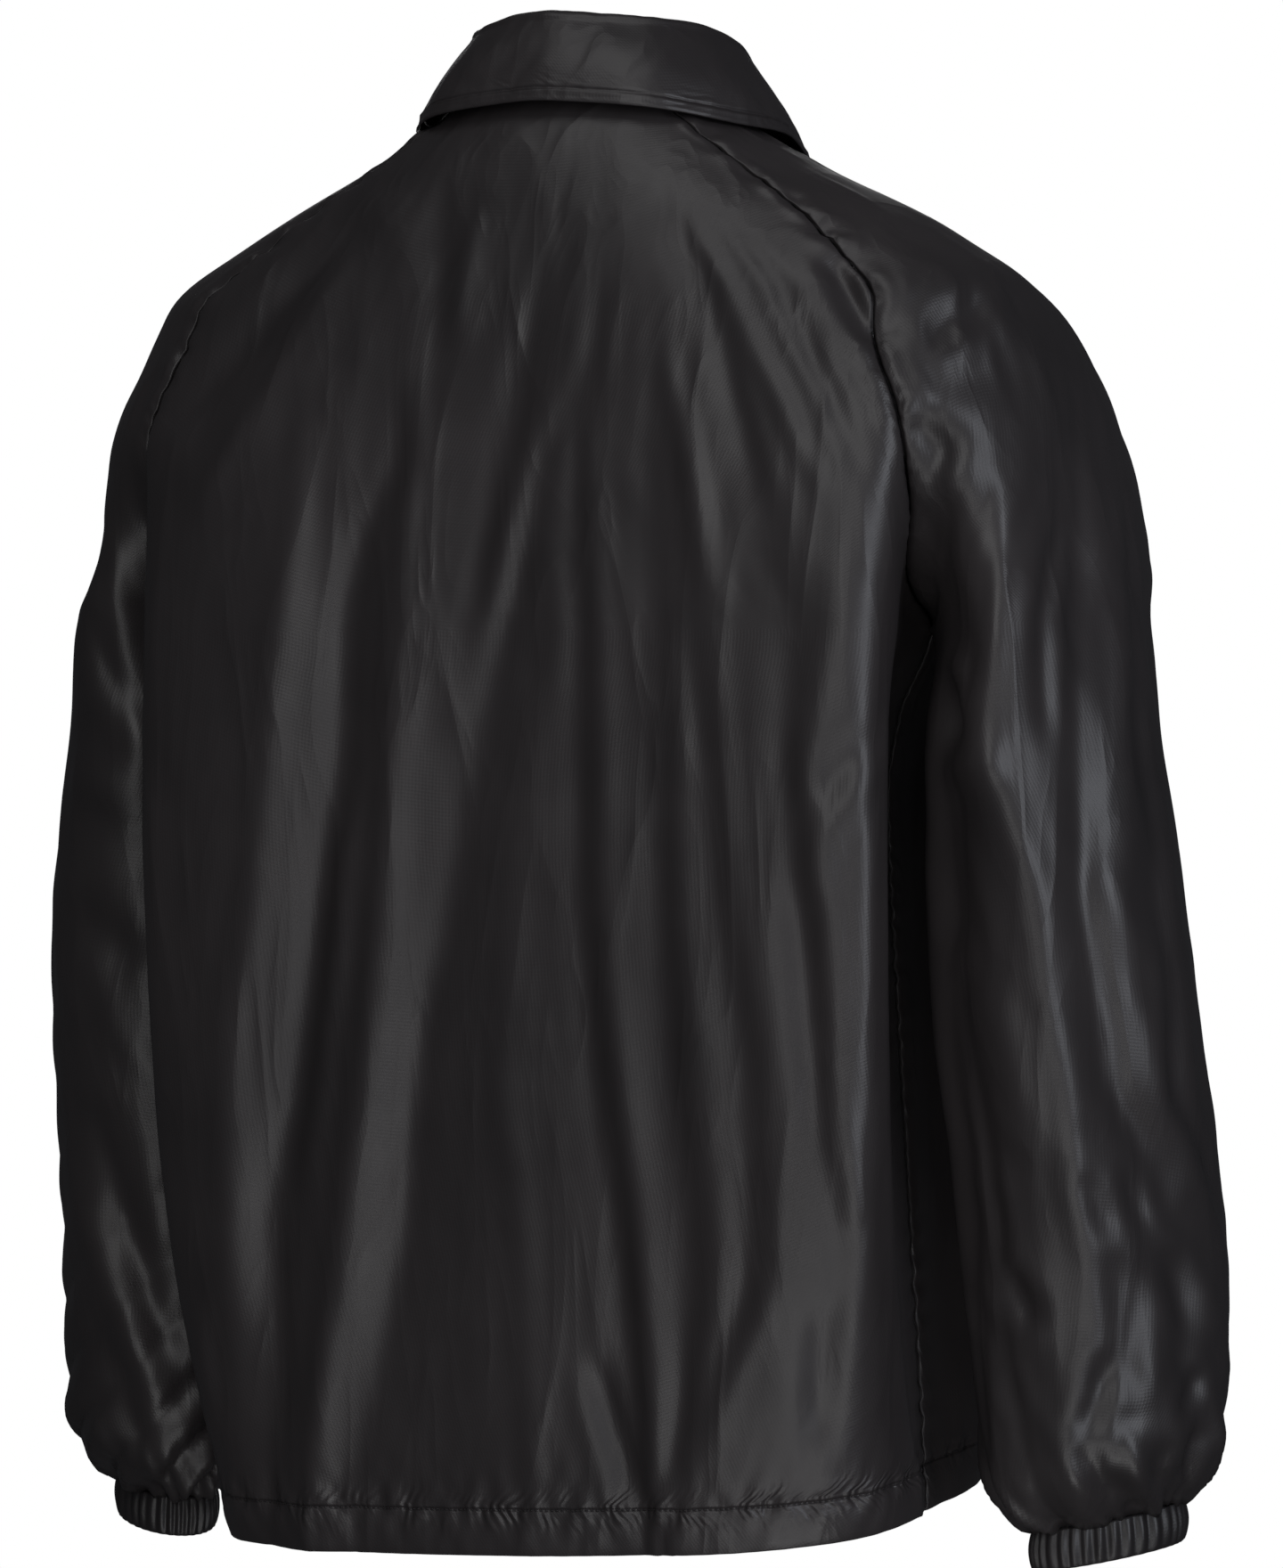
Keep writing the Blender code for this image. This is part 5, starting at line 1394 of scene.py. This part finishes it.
def nylon_taffeta(name, dark, light):
    """Coated nylon taffeta: a tight, calendered plain weave, so highlights are soft but clear.

    The weave is too fine to show, so it is drawn coarser and very faint.
    """
    made, tree, shader = new_material(name)
    place = add_node(tree, "ShaderNodeTexCoord")
    uv = add_node(tree, "ShaderNodeUVMap", uv_map="cloth")
    cloudy = add_node(tree, "ShaderNodeTexNoise", {"Vector": place.outputs["Object"],
                      "Scale": 7.0, "Detail": 3.0, "Roughness": 0.6})
    tint = add_node(tree, "ShaderNodeValToRGB", {"Fac": cloudy.outputs["Fac"]})
    tint.color_ramp.elements[0].position = 0.3
    tint.color_ramp.elements[0].color = (*linear(dark), 1)
    tint.color_ramp.elements[1].position = 0.7
    tint.color_ramp.elements[1].color = (*linear(light), 1)
    tree.links.new(tint.outputs["Color"], shader.inputs["Base Color"])
    rub = add_node(tree, "ShaderNodeTexNoise", {"Vector": place.outputs["Object"],
                   "Scale": 24.0, "Detail": 4.0})
    dull = add_node(tree, "ShaderNodeMapRange", {"Value": rub.outputs["Fac"],
                    "From Min": 0.3, "From Max": 0.7, "To Min": 0.36, "To Max": 0.44})
    tree.links.new(dull.outputs["Result"], shader.inputs["Roughness"])
    shader.inputs["IOR"].default_value = 1.53
    shader.inputs["Specular IOR Level"].default_value = 0.6
    height = seam_ripples(tree, uv.outputs["UV"])
    warp = add_node(tree, "ShaderNodeTexWave", {"Vector": uv.outputs["UV"], "Scale": WEAVE_SCALE},
                    wave_type="BANDS", bands_direction="X")
    weft = add_node(tree, "ShaderNodeTexWave", {"Vector": uv.outputs["UV"], "Scale": WEAVE_SCALE},
                    wave_type="BANDS", bands_direction="Y")
    weave = add_node(tree, "ShaderNodeMath", {0: warp.outputs["Fac"], 1: weft.outputs["Fac"]},
                     operation="ADD")
    drawn = add_node(tree, "ShaderNodeMapping", {"Vector": place.outputs["Object"],
                     "Rotation": (0, CREASE_LEAN, 0), "Scale": (1.0, 1.0, 0.22)})
    crinkle = add_node(tree, "ShaderNodeTexNoise", {"Vector": drawn.outputs["Vector"],
                       "Scale": 30.0, "Detail": 2.0, "Roughness": 0.5, "Offset": 1.0, "Gain": 1.2,
                       "Distortion": 0.4}, noise_type="RIDGED_MULTIFRACTAL", normalize=False)
    fine = add_node(tree, "ShaderNodeBump", {"Height": weave.outputs["Value"],
                    "Strength": 0.2, "Distance": 0.0001})
    bump = add_node(tree, "ShaderNodeBump", {"Height": crinkle.outputs["Fac"],
                    "Strength": 0.5, "Distance": 0.001, "Normal": fine.outputs["Normal"]})
    sewn = add_node(tree, "ShaderNodeBump", {"Height": height, "Strength": 0.9,
                    "Distance": 0.0011, "Normal": bump.outputs["Normal"]})
    tree.links.new(sewn.outputs["Normal"], shader.inputs["Normal"])
    return made


def nearness(tree, gap, reach):
    """Adds nodes that give 1 at a gap of nothing and fade to 0 over a reach."""
    part = add_node(tree, "ShaderNodeMath", {0: gap, 1: reach}, operation="DIVIDE")
    square = add_node(tree, "ShaderNodeMath", {0: part.outputs["Value"],
                      1: part.outputs["Value"]}, operation="MULTIPLY")
    less = add_node(tree, "ShaderNodeMath", {0: square.outputs["Value"], 1: -1.0},
                    operation="MULTIPLY")
    return add_node(tree, "ShaderNodeMath", {0: less.outputs["Value"]},
                    operation="EXPONENT").outputs["Value"]


def seam_ripples(tree, uv):
    """Adds the height of the puckers that sewing draws up, and of the lines it presses in."""
    height = None
    pucker = add_node(tree, "ShaderNodeAttribute", attribute_name="pucker").outputs["Fac"]
    for label, direction, turn, period, reach, strength, groove in (
            ("stitch_gap", "X", 0.35, 5.5 * MM, 8 * MM, 1.0, 0.9 * MM),
            ("seam_gap", "Y", 0.2, 13 * MM, 8 * MM, 0.5, 0.8 * MM)):
        gap = add_node(tree, "ShaderNodeAttribute", attribute_name=label).outputs["Fac"]
        slanted = add_node(tree, "ShaderNodeMapping", {"Vector": uv, "Rotation": (0, 0, turn)})
        wave = add_node(tree, "ShaderNodeTexWave", {"Vector": slanted.outputs["Vector"],
                        "Scale": WAVE_METRE / period, "Distortion": 9.0, "Detail": 1.0,
                        "Detail Scale": 0.8}, bands_direction=direction)
        patchy = add_node(tree, "ShaderNodeTexNoise", {"Vector": uv, "Scale": 45.0})
        some = add_node(tree, "ShaderNodeMapRange", {"Value": patchy.outputs["Fac"],
                        "From Min": 0.42, "From Max": 0.62})
        drawn = add_node(tree, "ShaderNodeMath", {0: pucker, 1: strength}, operation="MULTIPLY")
        ripple = wave.outputs["Fac"]
        for share in (some.outputs["Result"], nearness(tree, gap, reach), drawn.outputs["Value"]):
            ripple = add_node(tree, "ShaderNodeMath", {0: ripple, 1: share},
                              operation="MULTIPLY").outputs["Value"]
        pressed = add_node(tree, "ShaderNodeMath", {0: ripple, 1: nearness(tree, gap, groove)},
                           operation="SUBTRACT")
        height = pressed.outputs["Value"] if height is None else add_node(
            tree, "ShaderNodeMath", {0: height, 1: pressed.outputs["Value"]},
            operation="ADD").outputs["Value"]
    return height


def polyester_thread():
    """Spun polyester thread: duller than the nylon, with the twist of its two plies."""
    made, tree, shader = new_material("polyester_thread")
    place = add_node(tree, "ShaderNodeTexCoord")
    twist = add_node(tree, "ShaderNodeTexWave", {"Vector": place.outputs["Object"],
                     "Scale": 600.0, "Distortion": 2.0}, bands_direction="DIAGONAL")
    tint = add_node(tree, "ShaderNodeValToRGB", {"Fac": twist.outputs["Fac"]})
    tint.color_ramp.elements[0].color = (*linear("#1a1819"), 1)
    tint.color_ramp.elements[1].color = (*linear("#3a3638"), 1)
    tree.links.new(tint.outputs["Color"], shader.inputs["Base Color"])
    shader.inputs["Roughness"].default_value = 0.62
    return made


def enamelled_brass():
    """Pressed brass snap cap under dark enamel: smooth and glossy, with a faint mottle."""
    made, tree, shader = new_material("enamelled_brass")
    place = add_node(tree, "ShaderNodeTexCoord")
    speck = add_node(tree, "ShaderNodeTexNoise", {"Vector": place.outputs["Object"],
                     "Scale": 400.0, "Detail": 3.0})
    tint = add_node(tree, "ShaderNodeValToRGB", {"Fac": speck.outputs["Fac"]})
    tint.color_ramp.elements[0].color = (*linear("#1b1a1b"), 1)
    tint.color_ramp.elements[1].color = (*linear("#2a2829"), 1)
    tree.links.new(tint.outputs["Color"], shader.inputs["Base Color"])
    dull = add_node(tree, "ShaderNodeMapRange", {"Value": speck.outputs["Fac"],
                    "To Min": 0.2, "To Max": 0.38})
    tree.links.new(dull.outputs["Result"], shader.inputs["Roughness"])
    shader.inputs["Coat Weight"].default_value = 0.4
    return made


def painted_floor():
    """A pale, matt studio floor, lit a little from within so that it stays pale."""
    made, tree, shader = new_material("painted_floor")
    place = add_node(tree, "ShaderNodeTexCoord")
    cloudy = add_node(tree, "ShaderNodeTexNoise", {"Vector": place.outputs["Object"], "Scale": 2.0})
    tint = add_node(tree, "ShaderNodeValToRGB", {"Fac": cloudy.outputs["Fac"]})
    tint.color_ramp.elements[0].color = (*linear("#f6f6f6"), 1)
    tint.color_ramp.elements[1].color = (*linear("#fbfbfb"), 1)
    tree.links.new(tint.outputs["Color"], shader.inputs["Base Color"])
    shader.inputs["Roughness"].default_value = 0.8
    shader.inputs["Emission Color"].default_value = (1, 1, 1, 1)
    shader.inputs["Emission Strength"].default_value = FLOOR_GLOW
    return made


def add_camera():
    """Places the camera where the photograph was taken from."""
    turn = math.radians(CAMERA_AZIMUTH)
    right = Vector((math.cos(turn), math.sin(turn), 0))
    target = Vector((0, 0, CAMERA_TARGET_HEIGHT)) + right * CAMERA_TARGET_RIGHT
    back = Vector((math.sin(turn), -math.cos(turn), 0))
    data = bpy.data.cameras.new("camera")
    data.sensor_width = SENSOR
    data.lens = SENSOR / 2 / (VIEW_HALF_HEIGHT / CAMERA_DISTANCE)
    camera = bpy.data.objects.new("camera", data)
    camera.location = target + back * CAMERA_DISTANCE
    camera.rotation_mode = "QUATERNION"
    camera.rotation_quaternion = (-back).to_track_quat("-Z", "Y")
    bpy.context.scene.collection.objects.link(camera)
    bpy.context.scene.camera = camera


def add_softbox(box):
    """Adds a soft light, a rectangle that looks at the jacket from its direction."""
    turn, rise = math.radians(box["azimuth"]), math.radians(box["elevation"])
    back = Vector((math.sin(turn) * math.cos(rise), -math.cos(turn) * math.cos(rise),
                   math.sin(rise)))
    data = bpy.data.lights.new(box["name"], "AREA")
    data.shape = "RECTANGLE"
    data.size, data.size_y = box["size"]
    data.energy = box["power"]
    data.color = box["tint"]
    light = bpy.data.objects.new(box["name"], data)
    light.location = Vector((0, 0, CAMERA_TARGET_HEIGHT)) + back * box["distance"]
    light.rotation_mode = "QUATERNION"
    light.rotation_quaternion = (-back).to_track_quat("-Z", "Y")
    light.visible_glossy = box["shines"]
    bpy.context.scene.collection.objects.link(light)


def add_studio():
    """Adds the pale floor, the white surround and the soft lights."""
    corners = [(x * FLOOR_HALF_SIZE, y * FLOOR_HALF_SIZE, FLOOR_HEIGHT)
               for x, y in ((-1, -1), (1, -1), (1, 1), (-1, 1))]
    floor = mesh_object("studio_floor", corners, [(0, 1, 2, 3)], painted_floor())
    floor.visible_glossy = False
    floor.visible_diffuse = False
    world = bpy.data.worlds.new("studio")
    world.use_nodes = True
    tree = world.node_tree
    tree.nodes.clear()
    path = add_node(tree, "ShaderNodeLightPath")
    seen = add_node(tree, "ShaderNodeBackground", {"Color": (1, 1, 1, 1), "Strength": 1.0})
    dim = add_node(tree, "ShaderNodeBackground", {"Color": WORLD_TINT, "Strength": WORLD_GLOW})
    mix = add_node(tree, "ShaderNodeMixShader", {"Fac": path.outputs["Is Camera Ray"],
                   1: dim.outputs["Background"], 2: seen.outputs["Background"]})
    add_node(tree, "ShaderNodeOutputWorld", {"Surface": mix.outputs["Shader"]})
    bpy.context.scene.world = world
    bpy.context.scene.view_settings.view_transform = "Standard"
    for row in SOFTBOXES:
        add_softbox(dict(zip(SOFTBOX_COLUMNS, row)))


def dress():
    """Makes every piece, seats it on the frame and hides the part it stands for."""
    cloth = nylon_taffeta("nylon_taffeta", "#302d2e", "#3b3738")
    # The cuffs get a darker copy of the same taffeta: painted shade of their gathers
    gathered = nylon_taffeta("gathered_taffeta_painted_shade", "#242223", "#2e2b2c")
    enamel = enamelled_brass()
    panels, grids = make_panels(cloth)
    collar, collar_points = make_collar(grids, cloth)
    cuffs = {f"cuff_{side}": make_cuff(side, hand, gathered)
             for side, hand in (("right", -1), ("left", 1))}
    stitches = make_stitches(stitch_lines(grids, collar_points), polyester_thread())
    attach(stitches, "root")
    cloths = {**panels, "collar": collar, **cuffs}
    for name, thing in cloths.items():
        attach(thing, "root")
        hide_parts(name)
    for name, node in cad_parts.items():
        if name.startswith("snap"):
            node.data.materials.clear()
            node.data.materials.append(enamel)


add_camera()
add_studio()
dress()
